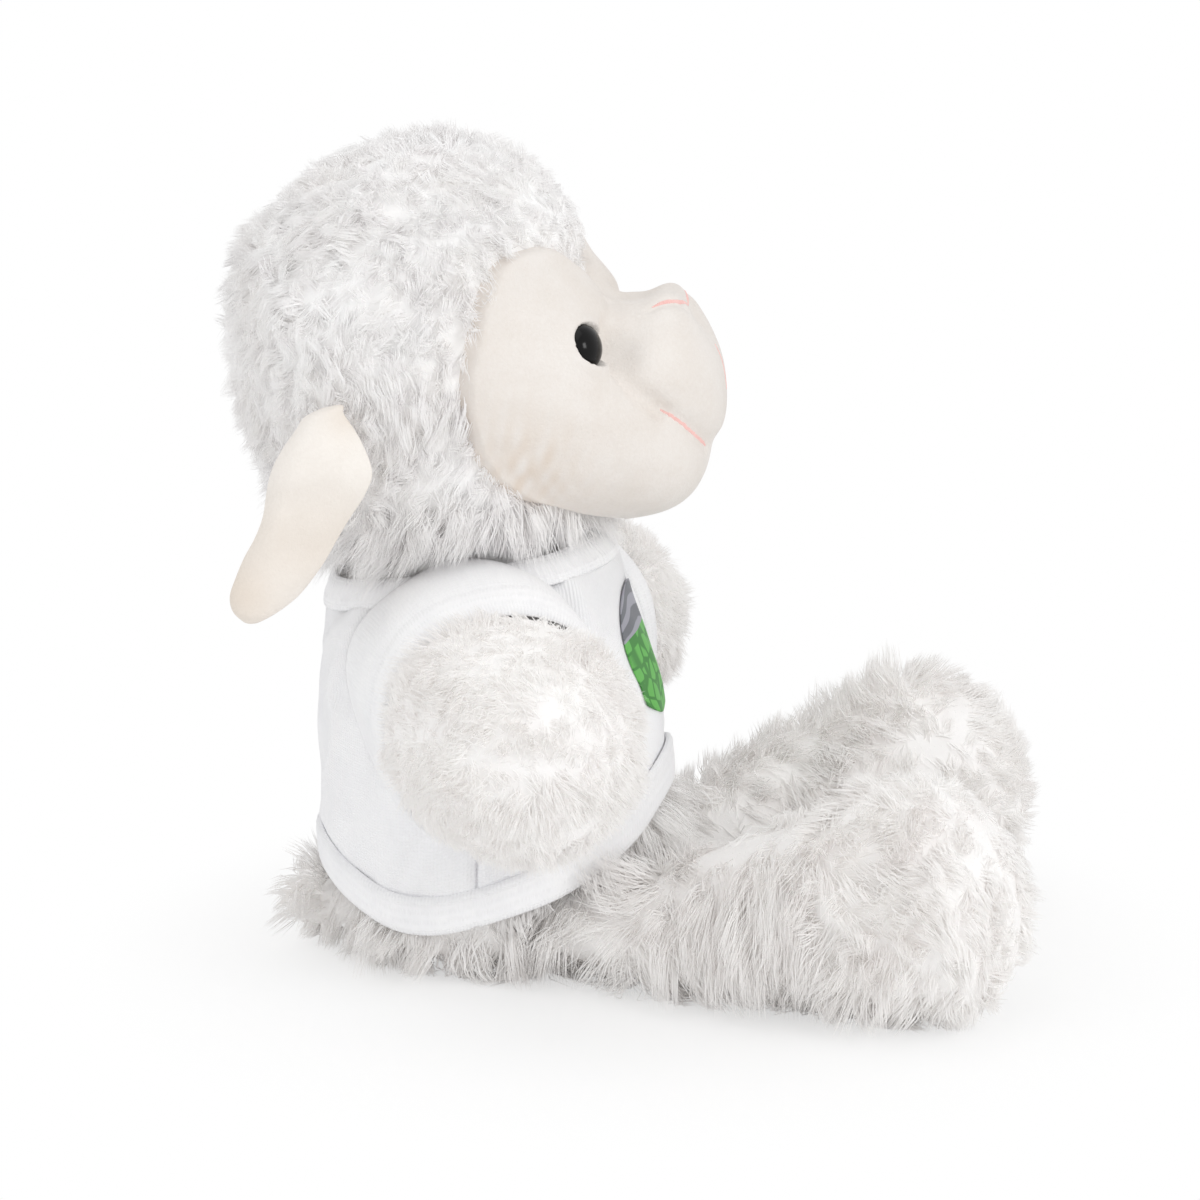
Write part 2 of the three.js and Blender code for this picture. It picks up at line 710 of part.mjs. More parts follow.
sides.forEach(([name, side], i) => {
  const spot = eyeSpots[i];
  addPiece(headBody, `eye_${name}`, eye(spot), eyePlastic);
  addPiece(headBody, `eye_washer_${name}`, washer(spot), washerPlastic);
  addPiece(headBody, `nostril_stitch_${name}`, stitchedLine(muzzleForm, mirrored(nostrilShares, side)),
    pinkThread);
  addPiece(headBody, `mouth_stitch_${name}`, stitchedLine(muzzleForm, mirrored(mouthShares, side)),
    pinkThread);
  const earBody = bodyAt(headBody, earSpot(side));
  addPiece(earBody, `ear_outer_${name}`, earLayer(side, 1), velour);
  addPiece(earBody, `ear_inner_${name}`, earLayer(side, -1), velour);
  addPiece(trunkBody, `sleeve_${name}`, sleeve(side), jersey);
  addPiece(trunkBody, `sleeve_band_${name}`, sleeveBandPiece(side), jersey);
  addPiece(bodyAt(trunkBody, shoulderOf(side)), `arm_${name}`, arm(side), shaggyWool);
  addPiece(bodyAt(trunkBody, hipOf(side)), `leg_${name}`, leg(side), shaggyWool);
});

addPiece(bodyAt(trunkBody, tailRoot), 'tail', tail(), shaggyWool);

export default lamb;
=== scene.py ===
import math

import bmesh
import bpy
import numpy as np
from mathutils import Matrix, Vector
from mathutils.bvhtree import BVHTree
from mathutils.kdtree import KDTree


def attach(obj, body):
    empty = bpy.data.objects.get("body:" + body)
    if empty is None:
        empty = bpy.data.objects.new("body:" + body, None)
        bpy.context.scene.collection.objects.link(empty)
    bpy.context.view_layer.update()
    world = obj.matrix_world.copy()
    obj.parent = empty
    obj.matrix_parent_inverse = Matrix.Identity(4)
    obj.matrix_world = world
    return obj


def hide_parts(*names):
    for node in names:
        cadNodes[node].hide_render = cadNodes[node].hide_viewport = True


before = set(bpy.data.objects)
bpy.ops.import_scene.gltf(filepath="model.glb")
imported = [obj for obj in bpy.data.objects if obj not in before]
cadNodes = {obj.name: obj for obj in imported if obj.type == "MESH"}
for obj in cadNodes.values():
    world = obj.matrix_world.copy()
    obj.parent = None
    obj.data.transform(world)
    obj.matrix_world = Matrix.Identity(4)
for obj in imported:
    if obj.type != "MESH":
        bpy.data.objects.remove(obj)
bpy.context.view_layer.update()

# A sitting plush lamb in a t-shirt, in metres. It faces -Y, and +X is its left side.
scene = bpy.context.scene
rng = np.random.default_rng(11)
mm = 0.001
sides = (("right", -1), ("left", 1))
mirrorX = np.array([-1.0, 1.0, 1.0])


# Camera

cameraSettings = {
    "azimuth": -85.0,
    "elevation": 13.0,
    "distance": 1.1,
    "target": (0.0, -0.0257, 0.0894),
    "lens": 135.0,
}


def makeCamera(settings):
    turn = math.radians(settings["azimuth"])
    rise = math.radians(settings["elevation"])
    back = Vector((math.sin(turn) * math.cos(rise), -math.cos(turn) * math.cos(rise), math.sin(rise)))
    data = bpy.data.cameras.new("camera")
    data.lens = settings["lens"]
    camera = bpy.data.objects.new("camera", data)
    camera.location = Vector(settings["target"]) + back * settings["distance"]
    camera.rotation_mode = "QUATERNION"
    camera.rotation_quaternion = (-back).to_track_quat("-Z", "Y")
    scene.collection.objects.link(camera)
    scene.camera = camera
    return camera


camera = makeCamera(cameraSettings)
frameSize = 1200


def spotsUnder(pixels, tree):
    # where the view through pixels of the camera's frame meets a surface
    film = camera.data.sensor_width / camera.data.lens
    turn = camera.rotation_quaternion.to_matrix()
    spots = []
    for x, y in pixels:
        way = turn @ Vector(((x / frameSize - 0.5) * film, (0.5 - y / frameSize) * film, -1.0))
        hit = tree.ray_cast(camera.location, way.normalized())[0]
        if hit is not None:
            spots.append(hit)
    return np.array(spots)


# Material helpers

def linear(red, green, blue):  # a colour written as 0 to 255 shares of screen light
    return tuple(((v / 255 + 0.055) / 1.055) ** 2.4 for v in (red, green, blue)) + (1.0,)


def newMaterial(name):
    material = bpy.data.materials.new(name)
    material.use_nodes = True
    tree = material.node_tree
    return material, tree, tree.nodes["Principled BSDF"]


def addNode(tree, kind, values=None, **fields):
    node = tree.nodes.new(kind)
    for field, value in fields.items():
        setattr(node, field, value)
    for socket, value in (values or {}).items():
        node.inputs[socket].default_value = value
    return node


def toneGroup():
    # two colours mixed by a broad noise and a fine one
    tree = bpy.data.node_groups.new("softTone", "ShaderNodeTree")
    kinds = {"Vector": "Vector", "Light": "Color", "Dark": "Color", "Scale": "Float", "Fine": "Float"}
    for socket, kind in kinds.items():
        tree.interface.new_socket(socket, in_out="INPUT", socket_type="NodeSocket" + kind)
    tree.interface.new_socket("Color", in_out="OUTPUT", socket_type="NodeSocketColor")
    tree.interface.new_socket("Mask", in_out="OUTPUT", socket_type="NodeSocketFloat")
    start = tree.nodes.new("NodeGroupInput")
    end = tree.nodes.new("NodeGroupOutput")
    broad = addNode(tree, "ShaderNodeTexNoise", {"Detail": 3.0, "Roughness": 0.55})
    fine = addNode(tree, "ShaderNodeTexNoise", {"Detail": 2.0, "Roughness": 0.6})
    both = addNode(tree, "ShaderNodeMath", {1: 0.4}, operation="MULTIPLY_ADD")
    spread = addNode(tree, "ShaderNodeMapRange", {"From Min": 0.5, "From Max": 0.9})
    mix = addNode(tree, "ShaderNodeMix", data_type="RGBA")
    link = tree.links.new
    link(start.outputs["Vector"], broad.inputs["Vector"])
    link(start.outputs["Vector"], fine.inputs["Vector"])
    link(start.outputs["Scale"], broad.inputs["Scale"])
    link(start.outputs["Fine"], fine.inputs["Scale"])
    link(fine.outputs["Fac"], both.inputs[0])
    link(broad.outputs["Fac"], both.inputs[2])
    link(both.outputs["Value"], spread.inputs["Value"])
    link(spread.outputs["Result"], mix.inputs["Factor"])
    link(start.outputs["Light"], mix.inputs["A"])
    link(start.outputs["Dark"], mix.inputs["B"])
    link(mix.outputs["Result"], end.inputs["Color"])
    link(spread.outputs["Result"], end.inputs["Mask"])
    return tree


softTone = toneGroup()


def placedTone(tree, light, dark, scale, fine):
    place = addNode(tree, "ShaderNodeTexCoord")
    tone = addNode(tree, "ShaderNodeGroup", node_tree=softTone)
    tone.inputs["Light"].default_value = linear(*light)
    tone.inputs["Dark"].default_value = linear(*dark)
    tone.inputs["Scale"].default_value = scale
    tone.inputs["Fine"].default_value = fine
    tree.links.new(place.outputs["Object"], tone.inputs["Vector"])
    return place, tone


def addRelief(tree, shader, place, scale, strength, depth):
    grain = addNode(tree, "ShaderNodeTexNoise", {"Scale": scale, "Detail": 2.0, "Roughness": 0.65})
    relief = addNode(tree, "ShaderNodeBump", {"Strength": strength, "Distance": depth})
    tree.links.new(place.outputs["Object"], grain.inputs["Vector"])
    tree.links.new(grain.outputs["Fac"], relief.inputs["Height"])
    tree.links.new(relief.outputs["Normal"], shader.inputs["Normal"])


def tintBy(tree, shader, attribute, tone, tint):
    # the base colour is the tone, turned to a tint by a mesh attribute
    share = addNode(tree, "ShaderNodeAttribute", attribute_name=attribute)
    mix = addNode(tree, "ShaderNodeMix", data_type="RGBA")
    mix.inputs["B"].default_value = linear(*tint)
    tree.links.new(share.outputs["Fac"], mix.inputs["Factor"])
    tree.links.new(tone.outputs["Color"], mix.inputs["A"])
    tree.links.new(mix.outputs["Result"], shader.inputs["Base Color"])


def setValues(shader, values):
    for socket, value in values.items():
        shader.inputs[socket].default_value = value


def bandWave(tree, scale, direction, distortion):
    return addNode(tree, "ShaderNodeTexWave", {"Scale": scale, "Distortion": distortion, "Detail": 1.0},
                   wave_type="BANDS", bands_direction=direction, wave_profile="SIN")


# Finishes

def woolMaterial(name, light, dark, lockTone):
    material, tree, shader = newMaterial(name)
    _, tone = placedTone(tree, light, dark, 60.0, 420.0)
    tintBy(tree, shader, "tone", tone, lockTone)
    setValues(shader, {"Roughness": 0.9, "Sheen Weight": 0.12, "Sheen Roughness": 0.5})
    return material


def velourMaterial(name, light, dark, warm_painted_shade, bump):
    material, tree, shader = newMaterial(name)
    place, tone = placedTone(tree, light, dark, 60.0, 1100.0)
    # the warm tint is painted shade, laid on by a mesh attribute
    tintBy(tree, shader, "warm_painted_shade", tone, warm_painted_shade)
    addRelief(tree, shader, place, 1500.0, bump, 0.3 * mm)
    setValues(shader, {"Roughness": 0.85, "Sheen Weight": 0.2, "Sheen Roughness": 0.4})
    return material


def jerseyMaterial(name, light, dark, seamPaintedShade, wale, course):
    # knit ribs by the cloth's own map, and painted shade along its seams: a darker colour standing in for
    # the shadow there
    material, tree, shader = newMaterial(name)
    _, tone = placedTone(tree, light, dark, 80.0, 700.0)
    tintBy(tree, shader, "painted_seam_shade", tone, seamPaintedShade)
    cloth = addNode(tree, "ShaderNodeUVMap", uv_map="cloth")
    wales = bandWave(tree, wavePeriod / wale, "X", 0.5)
    courses = bandWave(tree, wavePeriod / course, "Y", 0.7)
    knit = addNode(tree, "ShaderNodeMath", operation="MULTIPLY")
    relief = addNode(tree, "ShaderNodeBump", {"Strength": 0.8, "Distance": 0.15 * mm})
    for i, wave in enumerate((wales, courses)):
        tree.links.new(cloth.outputs["UV"], wave.inputs["Vector"])
        tree.links.new(wave.outputs["Fac"], knit.inputs[i])
    tree.links.new(knit.outputs["Value"], relief.inputs["Height"])
    tree.links.new(relief.outputs["Normal"], shader.inputs["Normal"])
    setValues(shader, {"Roughness": 0.8, "Sheen Weight": 0.1})
    return material


def tonedMaterial(name, light, dark, scales, values, relief=None):
    # two tones by a broad and a fine scale, and a relief of some scale, strength and depth
    material, tree, shader = newMaterial(name)
    place, tone = placedTone(tree, light, dark, *scales)
    tree.links.new(tone.outputs["Color"], shader.inputs["Base Color"])
    if relief:
        addRelief(tree, shader, place, *relief)
    setValues(shader, values)
    return material


def printMaterial(name, field, leaf, sky, skyMark):
    # two inks: a leafy field below and a clouded band above, by the patch's own map
    material, tree, shader = newMaterial(name)
    cloth = addNode(tree, "ShaderNodeUVMap", uv_map="cloth")
    parts = addNode(tree, "ShaderNodeSeparateXYZ")
    leaves = addNode(tree, "ShaderNodeTexVoronoi", {"Scale": 210.0, "Randomness": 0.6},
                     feature="DISTANCE_TO_EDGE")
    veins = addNode(tree, "ShaderNodeMapRange", {"From Min": 0.07, "From Max": 0.12})
    clouds = bandWave(tree, 55.0, "Y", 3.0)
    cloudEdge = addNode(tree, "ShaderNodeMapRange", {"From Min": 0.45, "From Max": 0.6})
    low = addNode(tree, "ShaderNodeMix", {"A": linear(*leaf), "B": linear(*field)}, data_type="RGBA")
    high = addNode(tree, "ShaderNodeMix", {"A": linear(*skyMark), "B": linear(*sky)}, data_type="RGBA")
    line = addNode(tree, "ShaderNodeMath", {1: printSettings["skyFrom"]}, operation="GREATER_THAN")
    both = addNode(tree, "ShaderNodeMix", data_type="RGBA")
    link = tree.links.new
    link(cloth.outputs["UV"], leaves.inputs["Vector"])
    link(cloth.outputs["UV"], clouds.inputs["Vector"])
    link(cloth.outputs["UV"], parts.inputs["Vector"])
    link(leaves.outputs["Distance"], veins.inputs["Value"])
    link(clouds.outputs["Fac"], cloudEdge.inputs["Value"])
    link(veins.outputs["Result"], low.inputs["Factor"])
    link(cloudEdge.outputs["Result"], high.inputs["Factor"])
    link(parts.outputs["Y"], line.inputs[0])
    link(line.outputs["Value"], both.inputs["Factor"])
    link(low.outputs["Result"], both.inputs["A"])
    link(high.outputs["Result"], both.inputs["B"])
    link(both.outputs["Result"], shader.inputs["Base Color"])
    shader.inputs["Roughness"].default_value = 0.6
    return material


wavePeriod = 2 * math.pi / 20  # a wave texture of scale 1 repeats after this length
printSettings = {"low": 0.062, "high": 0.093, "halfTurn": 0.43, "skyFrom": 0.0205, "thickness": 0.35 * mm,
                 "off": 1.75}
wool = woolMaterial("curly pile", (252, 252, 252), (249, 248, 247), (250, 249, 249))
shaggy = woolMaterial("shaggy pile", (251, 250, 249), (247, 245, 244), (249, 248, 247))
# each velour's third colour is its painted warm shade
velour = velourMaterial("ivory velour", (237, 232, 227), (230, 223, 216), (216, 197, 177), 0.5)
earVelour = velourMaterial("ear velour", (245, 240, 234), (237, 231, 224), (218, 200, 180), 0.4)
# the third colour is the painted shade in the sleeves' seams
jersey = jerseyMaterial("white jersey", (252, 252, 253), (246, 246, 248), (180, 177, 177),
                        0.85 * mm, 0.65 * mm)
eyeGloss = tonedMaterial("black eye", (5, 4, 5), (9, 8, 8), (150.0, 900.0),
                         {"Roughness": 0.16, "Specular IOR Level": 0.2})
pinkThread = tonedMaterial("pink thread", (248, 205, 199), (242, 190, 184), (300.0, 2400.0),
                           {"Roughness": 0.55, "Sheen Weight": 0.4}, (3500.0, 0.4, 0.1 * mm))
plainGrain = (1800.0, 0.2, 0.1 * mm)
fibre = tonedMaterial("fibre filling", (250, 250, 250), (240, 240, 240), (120.0, 900.0),
                      {"Roughness": 0.95}, plainGrain)
washerPlastic = tonedMaterial("washer plastic", (220, 220, 216), (210, 210, 206), (120.0, 900.0),
                              {"Roughness": 0.5}, plainGrain)
printInk = printMaterial("print ink", (100, 180, 84), (62, 132, 56), (158, 158, 168), (110, 112, 118))
print("finishes made")


# Mesh helpers

def newPiece(name, body):
    mesh = bpy.data.meshes.new(name)
    body.to_mesh(mesh)
    body.free()
    piece = bpy.data.objects.new(name, mesh)
    scene.collection.objects.link(piece)
    return piece


def copyOf(name, *nodeNames):
    body = bmesh.new()
    for node in nodeNames:
        body.from_mesh(cadNodes[node].data)
    bmesh.ops.remove_doubles(body, verts=body.verts, dist=0.01 * mm)
    return newPiece(name, body)


def bakeModifiers(piece):
    graph = bpy.context.evaluated_depsgraph_get()
    mesh = bpy.data.meshes.new_from_object(piece.evaluated_get(graph))
    piece.modifiers.clear()
    piece.data = mesh
    mesh.name = piece.name


def shadeSmooth(piece):
    piece.data.polygons.foreach_set("use_smooth", [True] * len(piece.data.polygons))
    piece.data.update()


def remeshed(piece, voxel, rounds, inset=0.0):
    grid = piece.modifiers.new("grid", "REMESH")
    grid.mode = "VOXEL"
    grid.voxel_size = voxel
    ease = piece.modifiers.new("ease", "SMOOTH")
    ease.iterations = rounds
    ease.factor = 0.5
    if inset:
        draw = piece.modifiers.new("draw in", "DISPLACE")
        draw.strength = -inset
        draw.mid_level = 0.0
        again = piece.modifiers.new("ease again", "SMOOTH")
        again.iterations = 4
    bakeModifiers(piece)
    shadeSmooth(piece)


def subdivided(piece, levels):
    fine = piece.modifiers.new("fine", "SUBSURF")
    fine.levels = levels
    fine.render_levels = levels
    bakeModifiers(piece)
    shadeSmooth(piece)


def readPoints(mesh, field="co"):
    flat = np.empty(len(mesh.vertices) * 3, np.float32)
    mesh.vertices.foreach_get(field, flat)
    return flat.reshape(-1, 3).astype(np.float64)


def addMask(mesh, name, values):
    mask = mesh.attributes.new(name, "FLOAT", "POINT")
    mask.data.foreach_set("value", values.astype(np.float32).ravel())


def writePoints(mesh, points):
    mesh.vertices.foreach_set("co", points.astype(np.float32).ravel())
    mesh.update()


def bvhOf(*pieces):
    body = bmesh.new()
    for piece in pieces:
        body.from_mesh(piece.data)
    tree = BVHTree.FromBMesh(body)
    body.free()
    return tree


def finishPiece(piece, body, slot, material, *nodeNames):
    piece.data.materials.clear()
    piece.data.materials.append(material)
    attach(piece, body)
    if nodeNames:
        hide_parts(*nodeNames)
    return piece


def unit(vectors):
    return vectors / np.maximum(np.linalg.norm(vectors, axis=-1, keepdims=True), 1e-12)


def nearPath(points, path):
    # how far each point lies from a path, and the path's nearest spot
    best = np.full(len(points), np.inf)
    spot = np.zeros_like(points)
    for start, end in zip(path[:-1], path[1:]):
        run = end - start
        share = np.clip((points - start) @ run / (run @ run), 0, 1)
        at = start + share[:, None] * run
        far = np.linalg.norm(points - at, axis=1)
        closer = far < best
        best[closer] = far[closer]
        spot[closer] = at[closer]
    return best, spot


def drift(points, size, seed, axes=3):
    # a smooth random value at each point, which changes over about the given distance
    waves = np.random.default_rng(seed)
    total = np.zeros((len(points), axes))
    for _ in range(4):
        steps = waves.normal(0, 1 / size, (3, axes))
        total += np.sin(points @ steps + waves.uniform(0, 2 * math.pi, axes))
    return total / 2


def curveThrough(rows, share):
    # the smooth curve through evenly counted rows, at shares from 0 to 1
    rows = np.asarray(rows, float)
    ends = np.vstack([2 * rows[0] - rows[1], rows, 2 * rows[-1] - rows[-2]])
    at = np.clip(share, 0, 1) * (len(rows) - 1)
    first = np.minimum(at.astype(int), len(rows) - 2)
    w = (at - first)[..., None]
    p0, p1, p2, p3 = (ends[first + k] for k in range(4))
    return p1 + 0.5 * w * (p2 - p0 + w * (2 * p0 - 5 * p1 + 4 * p2 - p3 + w * (3 * (p1 - p2) + p3 - p0)))


# Stuffed skins under the pile

armSkin = {"slot": "shaggy_wool", "voxel": 2.0 * mm, "rounds": 10, "inset": -0.8 * mm, "lift": 2.2 * mm,
           "liftFrom": 45 * mm, "liftRun": 12 * mm}
legSkin = {"slot": "shaggy_wool", "voxel": 2.0 * mm, "rounds": 10, "inset": 4.8 * mm, "lower": 0.05,
           "lowerFrom": 55 * mm, "lowerRun": 25 * mm}
skinSettings = {
    "trunk": {"slot": "shaggy_wool", "voxel": 2.4 * mm, "rounds": 6, "inset": 3.8 * mm},
    "head": {"slot": "curly_wool", "voxel": 2.0 * mm, "rounds": 10, "inset": 4.6 * mm},
    "arm_right": armSkin,
    "arm_left": armSkin,
    "leg_right": legSkin,
    "leg_left": legSkin,
    "tail": {"slot": "shaggy_wool", "voxel": 1.4 * mm, "rounds": 8, "inset": 3.2 * mm},
}

pileFinish = {"curly_wool": wool, "shaggy_wool": shaggy}
skins = {}
for node, settings in skinSettings.items():
    skin = copyOf(node + "_skin", node)
    remeshed(skin, settings["voxel"], settings["rounds"], settings["inset"])
    points = readPoints(skin.data)
    if "lift" in settings:  # an arm's skin stands higher out in its sleeve
        share = np.clip((np.abs(points[:, 0]) - settings["liftFrom"]) / settings["liftRun"], 0, 1)
        points[:, 2] += settings["lift"] * share
    if "lower" in settings:  # a foot's skin is lower than its solid
        share = np.clip((-points[:, 1] - settings["lowerFrom"]) / settings["lowerRun"], 0, 1)
        points[:, 2] *= 1 - settings["lower"] * share
    writePoints(skin.data, points)
    finishPiece(skin, node, settings["slot"], pileFinish[settings["slot"]], node)
    skins[node] = skin
print("skins made")


# Eyes: a glossy dome on a stem, along the line from its washer

eyeSettings = {
    "radius": 5.4 * mm, "dome": 3.6 * mm, "rim": 0.9 * mm, "stem": 1.5 * mm, "stemLength": 8 * mm,
    "sink": 0.5 * mm, "setBack": 1.5 * mm,
}
eyeFrames = {}
for sideName, side in sides:
    eyePoints = readPoints(cadNodes["eye_" + sideName].data)
    middle = eyePoints.mean(axis=0)
    axis = unit(middle - readPoints(cadNodes["eye_washer_" + sideName].data).mean(axis=0))
    top = (eyePoints @ axis).max()
    high = eyeSettings["dome"] + eyeSettings["rim"] + eyeSettings["sink"]
    seat = middle + (top - middle @ axis - high) * axis
    seat[1] += eyeSettings["setBack"]
    eyeFrames[sideName] = (seat, axis)


def makeEye(sideName, settings):
    seat, axis = eyeFrames[sideName]
    body = bmesh.new()
    bmesh.ops.create_uvsphere(body, u_segments=40, v_segments=24, radius=1.0)
    for vert in body.verts:
        high = vert.co.z > 0
        depth = settings["dome"] if high else 0.8 * settings["rim"]
        vert.co = Vector((vert.co.x * settings["radius"], vert.co.y * settings["radius"],
                          vert.co.z * depth + settings["rim"]))
    stem = Matrix.Translation((0, 0, -settings["stemLength"] / 2))
    bmesh.ops.create_cone(body, segments=20, radius1=settings["stem"], radius2=settings["stem"],
                          depth=settings["stemLength"], cap_ends=True, matrix=stem)
    turn = Vector(axis).to_track_quat("Z", "Y").to_matrix().to_4x4()
    bmesh.ops.transform(body, matrix=Matrix.Translation(seat) @ turn, verts=body.verts)
    eye = newPiece("eye_dome_" + sideName, body)
    shadeSmooth(eye)
    return finishPiece(eye, "head", "eye_plastic", eyeGloss, "eye_" + sideName)


eyes = [makeEye(sideName, eyeSettings) for sideName, side in sides]
for sideName, side in sides:
    washer = cadNodes["eye_washer_" + sideName]
    washer.data.materials.clear()
    washer.data.materials.append(washerPlastic)
print("eyes made")


# Face: brow, cheeks, jaw and muzzle, with the creases of the sewn panels

faceSettings = {
    "voxel": 1.2 * mm,
    "rounds": 16,
    "headInset": 0.3 * mm,
    "cutAt": 12 * mm,
    # where the velour ends and the wool begins, in pixels from the brow down the cheek to the chin
    "rim": [(588, 266), (570, 255), (540, 250), (514, 258), (499, 274), (488, 303), (478, 342), (470, 382),
            (471, 418), (481, 455), (497, 480), (525, 500), (570, 513), (620, 519)],
    "rimMiddle": 147 * mm,
    "tuck": 6.5 * mm,
    "narrow": 0.16,
    "browAt": -27 * mm,
    # creases: pixels of the camera's frame on the near side, depth and half width
    "creases": [
        ([(609, 326), (611, 346), (616, 364), (629, 386), (646, 399), (661, 410)], 2.2 * mm, 2.5 * mm),
        ([(659, 409), (675, 418), (690, 430), (702, 441), (707, 447)], 0.9 * mm, 1.5 * mm),
        ([(650, 309), (660, 304), (672, 302), (690, 305)], 0.9 * mm, 1.5 * mm),
        ([(614, 296), (613, 318), (609, 340)], 1.3 * mm, 2.2 * mm),
    ],
    # round dents and swells: pixel, height, half width
    "bumps": [((617, 352), -2.8 * mm, 4.4 * mm), ((603, 268), -3.4 * mm, 9 * mm),
              ((703, 312), -1.5 * mm, 8 * mm), ((668, 296), 0.6 * mm, 3.2 * mm),
              ((655, 375), 0.9 * mm, 8 * mm)],
    "lidHeight": 2.7 * mm,
    "lidWidth": 1.8 * mm,
}


def frontOf(name, node, cutAt):
    # the part of a solid in front of a plane, closed again
    body = bmesh.new()
    body.from_mesh(cadNodes[node].data)
    bmesh.ops.remove_doubles(body, verts=body.verts, dist=0.01 * mm)
    everything = body.verts[:] + body.edges[:] + body.faces[:]
    bmesh.ops.bisect_plane(body, geom=everything, plane_co=(0, cutAt, 0), plane_no=(0, 1, 0),
                           clear_outer=True)
    bmesh.ops.holes_fill(body, edges=[edge for edge in body.edges if edge.is_boundary], sides=0)
    return newPiece(name, body)


def aroundFace(points, settings):
    # the turn about the line from the face's middle to the back, 0 at the brow and pi at the chin
    return np.arctan2(np.abs(points[:, 0]), points[:, 2] - settings["rimMiddle"])


def behindRim(points, rim, settings):
    turns, places = rim
    return points[:, 1] - np.interp(aroundFace(points, settings), turns, places)


def makeFace(settings):
    face = copyOf("face_velour", "face", "muzzle", "eye_right", "eye_left", "eye_washer_right",
                  "eye_washer_left")
    under = frontOf("face_under", "head", settings["cutAt"])
    remeshed(under, 2.0 * mm, 6, settings["headInset"])
    body = bmesh.new()
    body.from_mesh(face.data)
    body.from_mesh(under.data)
    body.to_mesh(face.data)
    body.free()
    bpy.data.objects.remove(under)
    remeshed(face, settings["voxel"], settings["rounds"])
    subdivided(face, 1)
    tree = bvhOf(face)
    seen = spotsUnder(settings["rim"], tree)
    turns = aroundFace(seen, settings)
    order = np.argsort(turns)
    rim = np.append(0, turns[order]), np.append(settings["browAt"], seen[order, 1])
    points = readPoints(face.data)
    ways = readPoints(face.data, "normal")
    share = np.clip((behindRim(points, rim, settings) + 1.2 * mm) / (4 * mm), 0, 1)
    push = -settings["tuck"] * share * share * (3 - 2 * share)
    middle = (points - [0, 0, settings["rimMiddle"]]) * [1, 0, 1]
    inward = np.clip((behindRim(points, rim, settings) - 2 * mm) / (6 * mm), 0, 1)[:, None]
    points -= middle * inward * settings["narrow"]
    for pixels, depth, width in settings["creases"]:
        path = spotsUnder(pixels, tree)
        for line in (path, path * mirrorX):
            far, _ = nearPath(points, line)
            push -= depth * np.exp(-(far / width) ** 2)
    for pixel, height, width in settings["bumps"]:
        spot = spotsUnder([pixel], tree)
        for at in (spot, spot * mirrorX):
            far = np.linalg.norm(points - at, axis=1)
            push += height * np.exp(-(far / width) ** 2)
    points += ways * push[:, None]
    for seat, axis in eyeFrames.values():
        points = seatedAt(points, seat, axis, settings)
    writePoints(face.data, points)
    ease = face.modifiers.new("ease", "SMOOTH")
    ease.iterations = 2
    bakeModifiers(face)
    shadeSmooth(face)
    # painted warm shade low on the cheeks
    addMask(face.data, "warm_painted_shade", paintedNapShade(readPoints(face.data)))
    return face, rim


def seatedAt(points, seat, axis, settings):
    # the velour under an eye is pressed flat, and stands up round its rim as a lid
    rel = points - seat
    high = rel @ axis
    flat = rel - high[:, None] * axis
    out = np.linalg.norm(flat, axis=1)
    radius = eyeSettings["radius"]
    near = (out < radius + 12 * mm) & (np.abs(high) < 12 * mm)
    back = np.clip(0.5 + 0.5 * (flat @ np.array([0, 0.93, -0.36])) / np.maximum(out, 1e-9), 0, 1)
    rim = settings["lidHeight"] * (0.04 + 0.96 * back ** 1.6)
    lid = rim * np.exp(-((out - radius - 0.6 * mm) / settings["lidWidth"]) ** 2)
    target = np.where(out < radius - 0.2 * mm, np.minimum(high, 0.0) - 0.3 * mm, high + lid)
    return points + ((target - high) * near)[:, None] * axis


def paintedNapShade(points):
    # painted shade of the dense nap low on the cheeks: a warm darker tint, drawn out in streaks along the
    # nap
    cheek = np.array([0.043, -0.012, 0.127])
    rel = (np.abs(points[:, :1]) * [[1, 0, 0]] + points * [[0, 1, 1]]) - cheek
    patch = np.exp(-((rel / [0.02, 0.012, 0.014]) ** 2).sum(axis=1))
    streak = drift(points * [[1, 1.3, 0.7]], 1.0 * mm, 41, 1)[:, 0]
    return np.clip(patch * (0.6 + 0.4 * streak), 0, 1) * 0.5


face, faceRim = makeFace(faceSettings)
finishPiece(face, "head", "velour", velour, "face", "muzzle")
faceTree = bvhOf(face)
print("face made")


# Ears: an outer and an inner layer, parted along their middle

earSettings = {
    "root": (50.8, 35.0, 144.4),
    "along": (3.0, 15.5, -48.0),
    "thickness": 2.3,
    "cup": 1.8,
    # share of the length, half widths behind and in front, and how far it stands out, in mm
    "rows": [
        (-0.02, 0.0, 0.0, -1.2),
        (0.0, 4.0, 5.0, -0.6),
        (0.05, 4.8, 6.6, 1.0),
        (0.16, 6.0, 13.0, 3.8),
        (0.27, 6.7, 16.9, 5.3),
        (0.38, 6.2, 16.8, 5.8),
        (0.5, 5.3, 15.0, 5.7),
        (0.6, 5.6, 13.7, 5.5),
        (0.7, 6.7, 12.6, 5.5),
        (0.8, 7.1, 10.8, 5.7),
        (0.88, 7.0, 8.8, 6.0),
        (0.95, 5.2, 5.6, 6.2),
        (1.0, 1.8, 2.0, 6.3),
        (1.008, 0.0, 0.0, 6.3),
    ],
}


